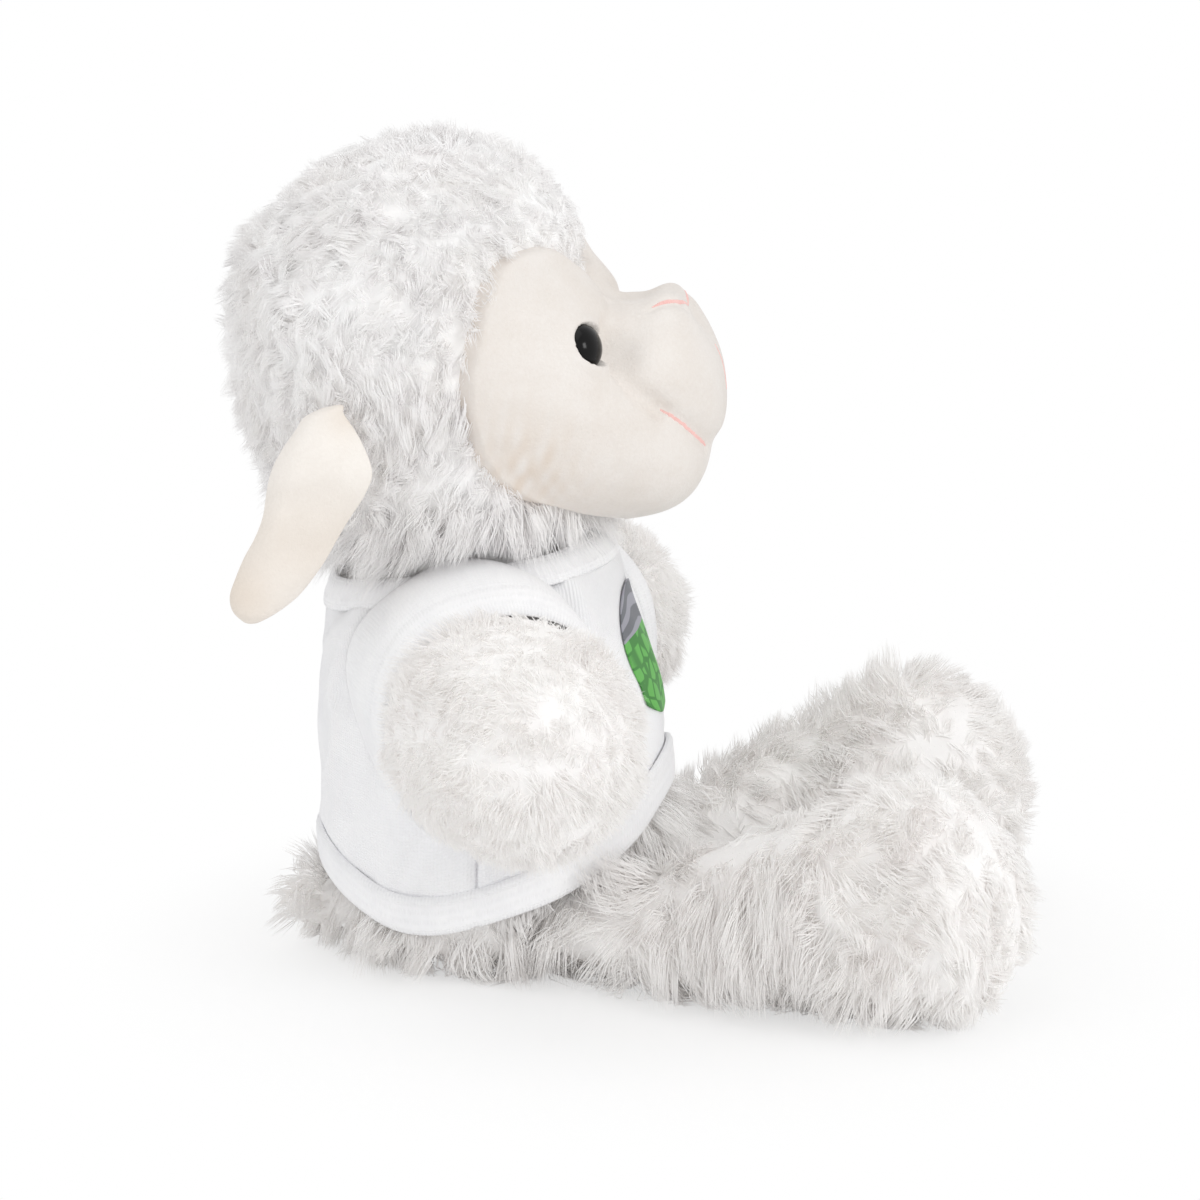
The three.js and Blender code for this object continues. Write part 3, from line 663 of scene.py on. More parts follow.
def makeEarLayer(name, side, layer, settings):
    body = bmesh.new()
    bmesh.ops.create_uvsphere(body, u_segments=56, v_segments=64, radius=1.0)
    ball = np.array([vert.co[:] for vert in body.verts])
    share = 1 - np.arccos(np.clip(ball[:, 2], -1, 1)) / math.pi
    round_ = np.maximum(np.sqrt(1 - np.clip(ball[:, 2], -1, 1) ** 2), 1e-9)
    wide = ball[:, 0] / round_
    deep = ball[:, 1] / round_
    polar = round_ < 1e-6
    wide[polar] = 0
    deep[polar] = 0
    row = curveThrough(settings["rows"], share)
    at, back, front, out = row.T
    across = np.where(wide < 0, back, front) * wide
    cup = settings["cup"] * wide ** 2 * np.clip(front / 16, 0, 1)
    fold = 0.7 * np.exp(-((at - 0.27 + 0.05 * wide) / 0.09) ** 2) - 0.5 * np.exp(-((at - 0.42) / 0.1) ** 2)
    fold += 0.5 * np.sin(at * 17 + wide * 1.4) * np.exp(-((at - 0.72) / 0.2) ** 2) * np.abs(wide) ** 0.5
    skinOff = np.where(deep * layer > 0, np.abs(deep) * settings["thickness"], -0.05)
    seamFlat = np.clip(front / 5, 0, 1)
    offset = out - cup + fold + layer * skinOff * seamFlat
    root = np.array(settings["root"]) * [side, 1, 1]
    along = np.array(settings["along"]) * [side, 1, 1]
    points = root + at[:, None] * along
    points[:, 1] -= across
    points[:, 0] += side * offset
    points[:, 2] += 0.35 * across * np.exp(-(at / 0.12) ** 2)
    for vert, point in zip(body.verts, points * mm):
        vert.co = point
    bmesh.ops.remove_doubles(body, verts=body.verts, dist=0.005 * mm)
    bmesh.ops.recalc_face_normals(body, faces=body.faces)
    ear = newPiece(name, body)
    shadeSmooth(ear)
    spots = readPoints(ear.data) / mm - root
    # painted warm shade: strongest at the tip, less at the root under the wool and down the middle
    tip = 0.9 * (along + [0, 3, 0])
    nearTip = np.exp(-(np.linalg.norm((spots - tip) * [[0.6, 1, 1]], axis=1) / 7) ** 2)
    nearRoot = np.exp(-(np.linalg.norm((spots - [side, -6, -1]) * [[0.6, 1, 1]], axis=1) / 5) ** 2)
    middle = np.exp(-((spots[:, 2] + 30) / 12) ** 2) * 0.25
    addMask(ear.data, "warm_painted_shade", np.clip(0.6 * nearTip + 0.3 * nearRoot + middle, 0, 1))
    return ear


ears = []
for sideName, side in sides:
    for layerName, layer in (("outer", 1), ("inner", -1)):
        node = f"ear_{layerName}_{sideName}"
        ear = makeEarLayer(node + "_velour", side, layer, earSettings)
        finishPiece(ear, "ear_" + sideName, "velour", earVelour, node)
        ears.append(ear)
print("ears made")


# T-shirt: panels and bands laid on the trunk's form

trunkForm = {
    "press": 3.3, "pressAt": 0.6, "pressWide": 0.13,  # the chest is drawn in between the arms
    "width": 83.0, "depth": 84.0, "height": 106.5, "floorCut": 0.5, "slope": 0.14, "leanStart": 0.35,
    # station, half width, low and high side of its depth, as shares
    "rows": [
        (0, 0, 0, 0), (0.008, 0.3, -0.28, 0.26), (0.06, 0.415, -0.42, 0.39), (0.2, 0.485, -0.49, 0.48),
        (0.44, 0.5, -0.5, 0.5), (0.66, 0.495, -0.495, 0.475), (0.83, 0.47, -0.48, 0.42),
        (0.92, 0.42, -0.45, 0.37), (0.965, 0.33, -0.385, 0.29), (0.99, 0.18, -0.23, 0.13),
        (1, 0, -0.06, -0.06),
    ],
}
shirtSettings = {
    "hem": (26.5, 21.0, 16.6, 16.3, 18.8, 22.5, 26.8, 33.5, 44.5), "bandWidth": 9.6, "bandSwell": 1.0,
    "collarTop": 0.79, "collarWide": 0.1, "collarDrop": 0.08, "collarRise": 0.03, "collarBend": 1.5,
    "clothOff": 1.6, "bandOff": 2.7, "thickness": 1.0,
    # folds: turn and height where each starts and ends, depth and half width in mm
    "folds": [
        ((-0.55, 96), (-0.95, 70), 0.9, 3.2), ((-0.75, 98), (-1.3, 84), 0.7, 2.6),
        ((-0.5, 62), (-0.85, 40), 0.7, 3.4), ((0.62, 102), (0.75, 84), 0.9, 2.6),
        ((0.5, 58), (0.9, 70), 0.6, 3.0), ((-0.3, 40), (-0.5, 27), 0.6, 2.0),
        ((0.25, 36), (0.35, 48), 0.6, 2.0), ((-1.2, 60), (-1.4, 45), 0.5, 4.0),
        ((1.25, 66), (1.0, 56), 0.5, 3.5),
    ],
}
shoulder = {"at": (49.0, -6.0, 68.0), "axis": (46.0, -12.0, 0.0)}


girth = 42.0  # mean radius of the dressed trunk, in mm


def onGirth(turn, height):
    # a round stand-in for the trunk, on which folds and waves are measured
    return np.stack([np.cos(turn) * girth, -np.sin(turn) * girth, height], axis=1)


def trunkPoint(turn, share, off):
    # a point of the trunk's surface in mm, moved out by off
    station, half, low, high = curveThrough(trunkForm["rows"], share).T
    width, depth, height = trunkForm["width"], trunkForm["depth"], trunkForm["height"]
    chest = np.exp(-((share - trunkForm["pressAt"]) / trunkForm["pressWide"]) ** 2)
    off = off - trunkForm["press"] * np.maximum(np.sin(turn), 0) ** 2 * chest
    deep = (low + high) / 2 * depth + ((high - low) / 2 * depth + off) * np.sin(turn)
    lean = np.clip((share - trunkForm["leanStart"]) / (1 - trunkForm["leanStart"]), 0, 1)
    lean = lean * lean * (3 - 2 * lean)
    rise = height / 2 + (station - 0.5) * height * (1 + off / (height / 2))
    rise = rise + trunkForm["slope"] * deep * lean - trunkForm["floorCut"]
    return np.stack([(half * width + off) * np.cos(turn), -deep, rise], axis=-1)


def shareAtHeight(turn, height):
    low = np.zeros_like(turn)
    high = np.full_like(turn, 0.95)
    for _ in range(22):
        middle = (low + high) / 2
        under = trunkPoint(turn, middle, np.zeros_like(turn))[:, 2] < height
        low = np.where(under, middle, low)
        high = np.where(under, high, middle)
    return low


def hemHeight(turn, settings):
    # evenly counted rows from the back to the front
    rows = np.array(settings["hem"])[:, None]
    return curveThrough(rows, (np.sin(turn) + 1) / 2)[..., 0]


def bandWidth(turn, settings):
    return settings["bandWidth"] + settings["bandSwell"] * np.sin(turn)


def collarTop(turn, settings):
    drop = settings["collarDrop"] * np.maximum(0, -np.sin(turn)) ** settings["collarBend"]
    return settings["collarTop"] - drop + settings["collarRise"] * np.maximum(0, np.sin(turn)) ** 2


def clothGrid(name, columns, rows, flat, placeAt, rounds=(False, False), drop=None, paintedSeamShadeAt=None):
    # a sheet whose columns and rows are laid by placeAt, with its own map in metres
    body = bmesh.new()
    bmesh.ops.create_grid(body, x_segments=columns, y_segments=rows, size=0.5)
    shares = np.array([vert.co[:2] for vert in body.verts]) + 0.5
    points = placeAt(shares[:, 0], shares[:, 1])
    layer = body.loops.layers.uv.new("cloth")
    for vert, share in zip(body.verts, shares):
        for loop in vert.link_loops:
            loop[layer].uv = (share[0] * flat[0], share[1] * flat[1])
    # each point's share of painted seam shade, 0 unless the sheet is given one
    painted_seam_shade = body.verts.layers.float.new("painted_seam_shade")
    paintedShades = np.zeros(len(shares)) if paintedSeamShadeAt is None else paintedSeamShadeAt(shares[:, 0], shares[:, 1])
    for vert, point, depth in zip(body.verts, points * mm, paintedShades):
        vert.co = point
        vert[painted_seam_shade] = depth
    if drop is not None:
        lost = [vert for vert, gone in zip(body.verts, drop(points)) if gone]
        bmesh.ops.delete(body, geom=lost, context="VERTS")
    if any(rounds):
        bmesh.ops.remove_doubles(body, verts=body.verts, dist=0.02 * mm)
    if all(rounds):
        bmesh.ops.recalc_face_normals(body, faces=body.faces)
    else:
        bmesh.ops.reverse_faces(body, faces=body.faces)
    return newPiece(name, body)


def thickened(piece, thickness):
    wall = piece.modifiers.new("wall", "SOLIDIFY")
    wall.thickness = thickness * mm
    wall.offset = -1.0
    bakeModifiers(piece)
    shadeSmooth(piece)


def shirtFolds(turn, height, settings):
    # how far the cloth stands off, by its turn and height
    points = onGirth(turn, height)
    near = np.abs(points * [1, 0, 0]) + points * [0, 1, 1]
    off = 0.45 * drift(points, 11, 21, 1)[:, 0] + 0.22 * drift(points, 5, 22, 1)[:, 0]
    for (turnFrom, highFrom), (turnTo, highTo), depth, width in settings["folds"]:
        steps = np.linspace(0, 1, 5)
        path = onGirth(turnFrom + (turnTo - turnFrom) * steps, highFrom + (highTo - highFrom) * steps)
        far, _ = nearPath(near, path)
        off -= 1.5 * depth * np.exp(-(far / width) ** 2)
        off += 0.7 * depth * np.exp(-((far - 1.9 * width) / width) ** 2)
    sideSeam = np.abs(np.sin(turn)) * girth
    off -= 0.8 * np.exp(-(sideSeam / 0.8) ** 2)
    off += 0.35 * np.exp(-((sideSeam - 2.2) / 1.4) ** 2)
    return off


def axisOf(side):
    axis = np.array(shoulder["axis"]) * [side, 1, 1]
    return np.array(shoulder["at"]) * [side, 1, 1], axis / np.linalg.norm(axis)


def inArmholes(points):
    inside = np.zeros(len(points), bool)
    for _, side in sides:
        at, axis = axisOf(side)
        rel = points - at
        along = rel @ axis
        out = np.linalg.norm(rel - along[:, None] * axis, axis=1)
        inside |= (out < sleeveSettings["rootRadius"] - 2.0) & (along > -32)
    return inside


def shirtPanel(name, turnFrom, turnTo, settings):
    def placeAt(u, v):
        turn = turnFrom + (turnTo - turnFrom) * u
        low = shareAtHeight(turn, hemHeight(turn, settings) + bandWidth(turn, settings) - 1.6)
        high = collarTop(turn, settings) - settings["collarWide"] + 0.016
        share = low + (high - low) * v
        height = trunkPoint(turn, share, np.zeros_like(turn))[:, 2]
        edge = np.clip(np.minimum(v, 1 - v) / 0.05, 0, 1)
        tuck = 1.0 * (1 - edge)
        off = settings["clothOff"] + shirtFolds(turn, height, settings) * (0.3 + 0.7 * edge) - tuck
        return trunkPoint(turn, share, off)

    panel = clothGrid(name, 150, 90, (0.13, 0.08), placeAt, drop=inArmholes)
    thickened(panel, settings["thickness"])
    return panel


def bandLoop(v, width, thickness):
    # a flat ring's cross section: across its width and its thickness, round at both edges
    turn = v * 2 * math.pi
    across = np.sign(np.cos(turn)) * np.abs(np.cos(turn)) ** 0.35 * width / 2
    deep = np.sign(np.sin(turn)) * np.abs(np.sin(turn)) ** 0.75 * thickness / 2
    return across, deep


def hemBand(settings):
    def placeAt(u, v):
        turn = u * 2 * math.pi
        across, deep = bandLoop(v, 1.0, 2.0)
        across = across * bandWidth(turn, settings)
        height = hemHeight(turn, settings) + bandWidth(turn, settings) / 2 + across
        share = shareAtHeight(turn, height)
        wave = 0.35 * drift(onGirth(turn, height), 9, 31, 1)[:, 0]
        stitch = -0.3 * np.exp(-((across - 2.9) / 0.4) ** 2)
        puckers = 0.12 * np.sin(u * 460) * np.exp(-((across - 2.9) / 1.2) ** 2)
        sideSeam = -0.4 * np.exp(-(np.abs(np.sin(turn)) * girth / 0.8) ** 2)
        off = settings["bandOff"] - 0.95 + deep + wave + (stitch + puckers) * (deep > 0) + sideSeam
        return trunkPoint(turn, share, off)

    band = clothGrid("hem_band_jersey", 460, 28, (0.262, 0.0212), placeAt, (True, True))
    shadeSmooth(band)
    return band


def collarBand(settings):
    def placeAt(u, v):
        turn = u * 2 * math.pi
        across, deep = bandLoop(v, 1.0, 0.8)
        share = collarTop(turn, settings) + settings["collarWide"] * (across - 0.5)
        ribs = 0.1 * np.sin(u * 2 * math.pi * 120) * (deep > 0)
        wave = 0.3 * drift(onGirth(turn, across), 12, 33, 1)[:, 0]
        return trunkPoint(turn, share, settings["clothOff"] + 0.05 + deep + ribs + wave)

    band = clothGrid("collar_jersey", 720, 22, (0.225, 0.0128), placeAt, (True, True))
    shadeSmooth(band)
    return band


sleeveSettings = {
    "rootRadius": 29.6, "rootSwell": 7.4, "swellTurn": 1.15, "swellWide": 1.05, "rootReach": -34.0,
    "puff": 2.0, "lean": (0, -1.3, 1.2), "mouthRadius": 29.2, "mouth": 4.5, "band": 8.5, "thickness": 1.0,
}


def sleeveRing(side, turn, along, radius):
    # a point round the arm's axis, with turn 0 at the back and a quarter turn at the top
    at, axis = axisOf(side)
    up = np.array([0, 0, 1.0])
    back = np.cross(up, axis) * side
    way = np.cos(turn)[:, None] * back + np.sin(turn)[:, None] * up
    return at + along[:, None] * axis + radius[:, None] * way


def overShoulder(turn, settings):
    # 1 over the shoulder, where the sleeve is full, and 0 under the arm
    away = (turn - settings["swellTurn"] + math.pi) % (2 * math.pi) - math.pi
    return np.exp(-(away / settings["swellWide"]) ** 4)


def rootRadii(turn, settings):
    return settings["rootRadius"] + settings["rootSwell"] * overShoulder(turn, settings)


def sleeveRoots(side, settings, tree, count=120):
    # how far in along the arm's axis the sleeve meets the shirt, round its root
    turns = np.arange(count) / count * 2 * math.pi
    _, axis = axisOf(side)
    reach = np.full(count, settings["mouth"] + 40.0)
    starts = sleeveRing(side, turns, reach, rootRadii(turns, settings))
    found = []
    for start in starts:
        hit = tree.ray_cast(Vector(start * mm), Vector(-axis))
        found.append(reach[0] - hit[3] / mm if hit[0] is not None else settings["rootReach"])
    found = np.clip(np.array(found), settings["rootReach"], settings["mouth"] - settings["band"] - 2.0)
    for _ in range(4):
        found = (np.roll(found, 1) + 2 * found + np.roll(found, -1)) / 4
    return turns, found


def sleeveCloth(sideName, side, settings, tree):
    turns, roots = sleeveRoots(side, settings, tree)
    bandStart = settings["mouth"] - settings["band"]

    def rootAt(turn):
        return np.interp(turn, np.append(turns, 2 * math.pi), np.append(roots, roots[0]))

    def ring(turn, along, off, root):
        share = np.clip((along - root) / (settings["mouth"] - root), 0, 1)
        start = rootRadii(turn, settings)
        puff = settings["puff"] * np.sin(math.pi * share) * (0.2 + 0.8 * overShoulder(turn, settings))
        radius = start + (settings["mouthRadius"] - start) * share ** 1.4 + puff
        circle = np.stack([np.cos(turn) * 32, np.sin(turn) * 32, along * 1.2], axis=1)
        wave = 0.45 * drift(circle, 8, 51, 1)[:, 0] * (0.4 + 0.6 * share)
        lean = share[:, None] * settings["lean"]
        return sleeveRing(side, turn, along, radius + off + wave) + lean

    def placeSleeve(u, v):
        turn = u * 2 * math.pi
        root = rootAt(turn)
        along = root - 0.8 + (bandStart + 1.0 - root + 0.8) * v
        tuck = -2.2 * np.exp(-(v / 0.05) ** 2) - 0.5 * np.exp(-((1 - v) / 0.05) ** 2)
        return ring(turn, along, tuck, root)

    def paintedSeamShadeAt(u, v):
        # painted shade in the seam: darkest where the sleeve meets the shirt's surface, fading within about
        # a millimetre
        points = placeSleeve(u, v) * mm
        far = np.array([tree.find_nearest(Vector(point))[3] for point in points]) / mm
        return np.exp(-(far / 1.1) ** 2)

    def placeBand(u, v):
        turn = u * 2 * math.pi
        root = rootAt(turn)
        across, deep = bandLoop(v, settings["band"], 1.8)
        along = bandStart + settings["band"] / 2 + across
        stitch = -0.22 * np.exp(-((across + 2.9) / 0.4) ** 2) * (deep > 0)
        return ring(turn, along, deep - 0.4 + stitch, root)

    sleeve = clothGrid(f"sleeve_{sideName}_jersey", 220, 30, (0.205, 0.0155), placeSleeve, (True, False),
                       paintedSeamShadeAt=paintedSeamShadeAt)
    if side > 0:
        sleeve.data.flip_normals()
    thickened(sleeve, settings["thickness"])
    band = clothGrid(f"sleeve_band_{sideName}_jersey", 300, 28, (0.2, 0.019), placeBand, (True, True))
    shadeSmooth(band)
    return sleeve, band


def trunkShell():
    # the shirt's plain surface, for finding where other pieces meet it
    def placeAt(u, v):
        return trunkPoint(u * 2 * math.pi, 0.12 + 0.76 * v, np.full_like(u, shirtSettings["clothOff"]))

    return clothGrid("shell", 160, 90, (1, 1), placeAt, (True, False))


shell = trunkShell()
shellTree = bvhOf(shell)
bpy.data.objects.remove(shell)
shirt = []


def addCloth(piece, node):
    finishPiece(piece, "trunk", "jersey", jersey, node)
    shirt.append(piece)
    return piece


front = addCloth(shirtPanel("shirt_front_jersey", 0.0, math.pi, shirtSettings), "shirt_front")
back = addCloth(shirtPanel("shirt_back_jersey", math.pi, 2 * math.pi, shirtSettings), "shirt_back")
hem = addCloth(hemBand(shirtSettings), "shirt_hem_band")
collar = addCloth(collarBand(shirtSettings), "shirt_collar")
for sideName, side in sides:
    sleeve, band = sleeveCloth(sideName, side, sleeveSettings, shellTree)
    addCloth(sleeve, "sleeve_" + sideName)
    addCloth(band, "sleeve_band_" + sideName)
clothTree = bvhOf(*shirt)
print("shirt made")


# Chest print: a rounded patch on the shirt's front

def chestPrint(settings):
    size = (2 * settings["halfTurn"] * 0.042, settings["high"] - settings["low"])

    def placeAt(u, v):
        # a square grid drawn into a rounded patch
        x, y = 2 * u - 1, 2 * v - 1
        x, y = x * np.sqrt(1 - 0.45 * y ** 2), y * np.sqrt(1 - 0.45 * x ** 2)
        turn = math.pi / 2 + x * settings["halfTurn"]
        height = (settings["low"] + settings["high"]) / 2 / mm + y * size[1] / 2 / mm
        share = shareAtHeight(turn, height)
        off = settings["off"] + shirtFolds(turn, height, shirtSettings) * 0.7
        return trunkPoint(turn, share, off + 0.35)

    patch = clothGrid("chest_print_ink", 70, 56, size, placeAt)
    thickened(patch, settings["thickness"] / mm)
    return patch


finishPiece(chestPrint(printSettings), "trunk", "print_ink", printInk, "chest_print")
print("print made")


# Embroidery: slanted satin stitches along lines on the velour

embroidery = {
    "stitch": {"length": 1.4 * mm, "thick": 0.36 * mm, "step": 0.48 * mm, "slant": 0.5, "sink": 0.12 * mm},
    "mouth_stitch": [(661, 410), (672, 416), (684, 425), (695, 435), (705, 445)],
    "nostril_stitch": [(653, 307), (660, 303.5), (669, 301.5), (679, 302), (688, 305)],
    "nose_stitch": [(0.0, 0.153), (0.0, 0.149), (0.0, 0.1455), (0.0, 0.1425)],
}


def stitchRow(name, path, tree, settings):
    lengths = np.linalg.norm(np.diff(path, axis=0), axis=1)
    total = np.concatenate([[0], np.cumsum(lengths)])
    count = max(int(total[-1] / settings["step"]), 3)
    body = bmesh.new()
    for at in np.linspace(0, total[-1], count):
        spot = np.array([np.interp(at, total, path[:, k]) for k in range(3)])
        ahead = np.array([np.interp(at + 0.6 * mm, total, path[:, k]) for k in range(3)])
        behind = np.array([np.interp(at - 0.6 * mm, total, path[:, k]) for k in range(3)])
        found = tree.find_nearest(Vector(spot))
        out = found[1]
        run = Vector(unit(ahead - behind))
        across = out.cross(run).normalized()
        way = (across + run * settings["slant"]).normalized()
        end = min(at, total[-1] - at) / (2.5 * mm)
        length = settings["length"] * (0.45 + 0.55 * min(end, 1)) * rng.uniform(0.85, 1.1)
        third = out.cross(way).normalized()
        turn = Matrix((way, third, out)).transposed().to_4x4()
        scale = Matrix.Diagonal((length / 2, settings["thick"], settings["thick"] * 0.8, 1.0))
        place = Matrix.Translation(found[0] - out * settings["sink"])
        bmesh.ops.create_uvsphere(body, u_segments=10, v_segments=6, radius=1.0, matrix=place @ turn @ scale)
    row = newPiece(name, body)
    shadeSmooth(row)
    return row


def makeEmbroidery(settings):
    stitch = settings["stitch"]
    for kind in ("mouth_stitch", "nostril_stitch"):
        path = spotsUnder(settings[kind], faceTree)
        for sideName, side in sides:
            row = stitchRow(f"{kind}_{sideName}_thread", path * [-side, 1, 1], faceTree, stitch)
            finishPiece(row, "head", "pink_thread", pinkThread, f"{kind}_{sideName}")
    front = []
    for x, z in settings["nose_stitch"]:
        hit = faceTree.ray_cast(Vector((x, -0.2, z)), Vector((0, 1, 0)))
        front.append(hit[0])
    row = stitchRow("nose_stitch_thread", np.array(front), faceTree, stitch)
    finishPiece(row, "head", "pink_thread", pinkThread, "nose_stitch")


makeEmbroidery(embroidery)
neckFilling = cadNodes["neck_filling"]
neckFilling.data.materials.clear()
neckFilling.data.materials.append(fibre)
print("embroidery made")


# Pile: strands rooted on the skins and drawn together into locks

def strandGroup():
    tree = bpy.data.node_groups.new("strandTubes", "GeometryNodeTree")
    tree.interface.new_socket("Geometry", in_out="INPUT", socket_type="NodeSocketGeometry")
    tree.interface.new_socket("Geometry", in_out="OUTPUT", socket_type="NodeSocketGeometry")
    start = tree.nodes.new("NodeGroupInput")
    end = tree.nodes.new("NodeGroupOutput")
    lines = tree.nodes.new("GeometryNodeMeshToCurve")
    thick = addNode(tree, "GeometryNodeInputNamedAttribute", {"Name": "thick"}, data_type="FLOAT")
    width = tree.nodes.new("GeometryNodeSetCurveRadius")
    section = addNode(tree, "GeometryNodeCurvePrimitiveCircle", {"Resolution": 3, "Radius": 1.0})
    tubes = addNode(tree, "GeometryNodeCurveToMesh", {"Fill Caps": True})
    points = addNode(tree, "GeometryNodeMergeByDistance", {"Distance": tipWidth})
    plain = addNode(tree, "GeometryNodeSetShadeSmooth", {"Shade Smooth": False})
    link = tree.links.new
    link(start.outputs[0], lines.inputs["Mesh"])
    link(lines.outputs["Curve"], width.inputs["Curve"])
    link(thick.outputs["Attribute"], width.inputs["Radius"])
    link(width.outputs["Curve"], tubes.inputs["Curve"])
    link(section.outputs["Curve"], tubes.inputs["Profile Curve"])
    if "Scale" in tubes.inputs:
        link(thick.outputs["Attribute"], tubes.inputs["Scale"])
    link(tubes.outputs["Mesh"], points.inputs["Geometry"])
    link(points.outputs["Geometry"], plain.inputs["Geometry"])
    link(plain.outputs["Geometry"], end.inputs[0])
    return tree


tipWidth = 0.06 * mm  # a strand's end is narrower than this, so it closes to a point
strandTubes = strandGroup()
strandSteps = np.array([0.0, 0.55, 1.0])
strandTaper = np.array([1.0, 0.85, 0.08])
strandsPerPiece = 19000
floorLift = 0.35 * mm
tipRoom = np.array([0, 2.5 * mm, 0])  # how far strands may lean over a bare face


def scatterRoots(skin, perSquareMm):
    mesh = skin.data
    mesh.calc_loop_triangles()
    corners = np.empty(len(mesh.loop_triangles) * 3, np.int32)
    mesh.loop_triangles.foreach_get("vertices", corners)
    corners = corners.reshape(-1, 3)
    points = readPoints(mesh)
    normals = readPoints(mesh, "normal")
    a, b, c = (points[corners[:, i]] for i in range(3))
    areas = np.linalg.norm(np.cross(b - a, c - a), axis=1) / 2
    count = int(areas.sum() / mm ** 2 * perSquareMm)
    picked = rng.choice(len(corners), count, p=areas / areas.sum())
    mix = rng.random((count, 2))
    folded = mix.sum(axis=1) > 1
    mix[folded] = 1 - mix[folded]
    weights = np.stack([1 - mix.sum(axis=1), mix[:, 0], mix[:, 1]], axis=1)
    roots = (points[corners[picked]] * weights[:, :, None]).sum(axis=1)
    out = unit((normals[corners[picked]] * weights[:, :, None]).sum(axis=1))
    return roots, out


def uncovered(roots, out, bare, over, reach):
    # roots that lie neither where the skin is bare nor close under a cloth
    keep = ~bare(roots) if bare else np.ones(len(roots), bool)
    if over:
        for i in np.flatnonzero(keep):
            keep[i] = over.ray_cast(Vector(roots[i]), Vector(out[i]), reach)[0] is None
    return keep


def shortened(paths, stops):
    # strands stop short of what they would run into
    share = np.ones(len(paths))
    for i, path in enumerate(paths):
        start = Vector(path[0])
        way = Vector(path[-1]) - start
        for stop in stops:
            hit = stop.ray_cast(start, way.normalized(), way.length)
            if hit[0] is not None:
                share[i] = min(share[i], 0.9 * hit[3] / way.length)
    return paths[:, :1] + (paths - paths[:, :1]) * share[:, None, None], share


def growPile(name, skin, body, slot, settings, combing, bare=None, over=None, stops=()):
    roots, out = scatterRoots(skin, settings["density"] * (1.0))
    onFloor = (roots[:, 2] < 5 * mm) & (out[:, 2] < -0.9)
    roots, out = roots[~onFloor], out[~onFloor]
    keep = uncovered(roots, out, bare, over, settings["coverReach"])
    roots, out = roots[keep], out[keep]
    count = len(roots)
    lockCount = max(count // settings["perLock"], 1)
    lockRoots = rng.choice(count, lockCount, replace=False)
    tree = KDTree(lockCount)
    for i, root in enumerate(roots[lockRoots]):
        tree.insert(root, i)
    tree.balance()
    lockOf = np.array([tree.find(root)[1] for root in roots])

    # each lock has a way to lie, a length and a curl
    swirl = drift(roots[lockRoots], settings["swirlSize"], settings["seed"])
    comb, reach = combing(roots[lockRoots], out[lockRoots])
    comb = comb + swirl * settings["swirl"]
    toss = rng.normal(0, settings["toss"], (lockCount, 3))
    lockWay = unit(out[lockRoots] * settings["stand"] + comb + toss)
    lockLength = settings["length"] * reach * rng.uniform(0.8, 1.2, lockCount)
    phase = rng.uniform(0, 2 * math.pi, lockCount)
    sideWay = unit(np.cross(lockWay, rng.normal(0, 1, (lockCount, 3))))
    otherWay = np.cross(lockWay, sideWay)
    t = strandSteps[None, :, None]
    angle = phase[:, None, None] + settings["curlTurns"] * 2 * math.pi * t
    curl = sideWay[:, None] * (np.sin(angle) - np.sin(phase)[:, None, None])
    curl = curl + otherWay[:, None] * (np.cos(angle) - np.cos(phase)[:, None, None])
    curl *= settings["curl"] * np.sqrt(t)
    droop = comb * settings["droop"]
    droop[:, 2] -= settings["sag"]

    def pathsFrom(start, way, length, lock):
        run = length[:, None, None] * t
        return start[:, None] + way[:, None] * run + droop[lock][:, None] * run * t + curl[lock]

    lockPaths = pathsFrom(roots[lockRoots], lockWay, lockLength, np.arange(lockCount))
    way = unit(lockWay[lockOf] + rng.normal(0, settings["spread"], (count, 3)))
    length = lockLength[lockOf] * rng.uniform(0.75, 1.1, count)
    own = pathsFrom(roots, way, length, lockOf)
    paths = own + (lockPaths[lockOf] - own) * settings["pull"] * t ** 1.3
    paths, share = shortened(paths, stops)
    low = floorLift + rng.uniform(0, 1.2 * mm, count)[:, None]
    paths[:, :, 2] = np.maximum(paths[:, :, 2], low)
    long = share * length > settings["shortest"]
    if bare:
        long &= ~bare(paths[:, -1] + tipRoom)
    paths, lockOf = paths[long], lockOf[long]
    tone = rng.random(lockCount)[lockOf]

    middle = paths[:, 0].mean(axis=0)
    order = np.argsort(np.arctan2(paths[:, 0, 0] - middle[0], paths[:, 0, 1] - middle[1]), kind="stable")
    parts = max(math.ceil(len(paths) / strandsPerPiece), 1)
    for i, chosen in enumerate(np.array_split(order, parts)):
        piece = strandPiece(f"{name}_{i + 1}", paths[chosen], tone[chosen], settings)
        finishPiece(piece, body, slot, pileFinish[slot])
    print(name, "strands", len(paths), "locks", lockCount)


def strandPiece(name, paths, tone, settings):
    count, steps = paths.shape[:2]
    mesh = bpy.data.meshes.new(name)
    mesh.vertices.add(count * steps)
    mesh.vertices.foreach_set("co", paths.astype(np.float32).ravel())
    first = np.arange(count)[:, None] * steps + np.arange(steps - 1)[None]
    mesh.edges.add(count * (steps - 1))
    mesh.edges.foreach_set("vertices", np.stack([first, first + 1], axis=2).astype(np.int32).ravel())
    swell = 1.0
    thick = settings["thick"] / 2 * swell * strandTaper[None] * rng.uniform(0.8, 1.2, count)[:, None]
    addMask(mesh, "thick", thick)
    addMask(mesh, "tone", np.repeat(tone, steps))
    piece = bpy.data.objects.new(name, mesh)
    scene.collection.objects.link(piece)
    tubes = piece.modifiers.new("tubes", "NODES")
    tubes.node_group = strandTubes
    bakeModifiers(piece)
    return piece


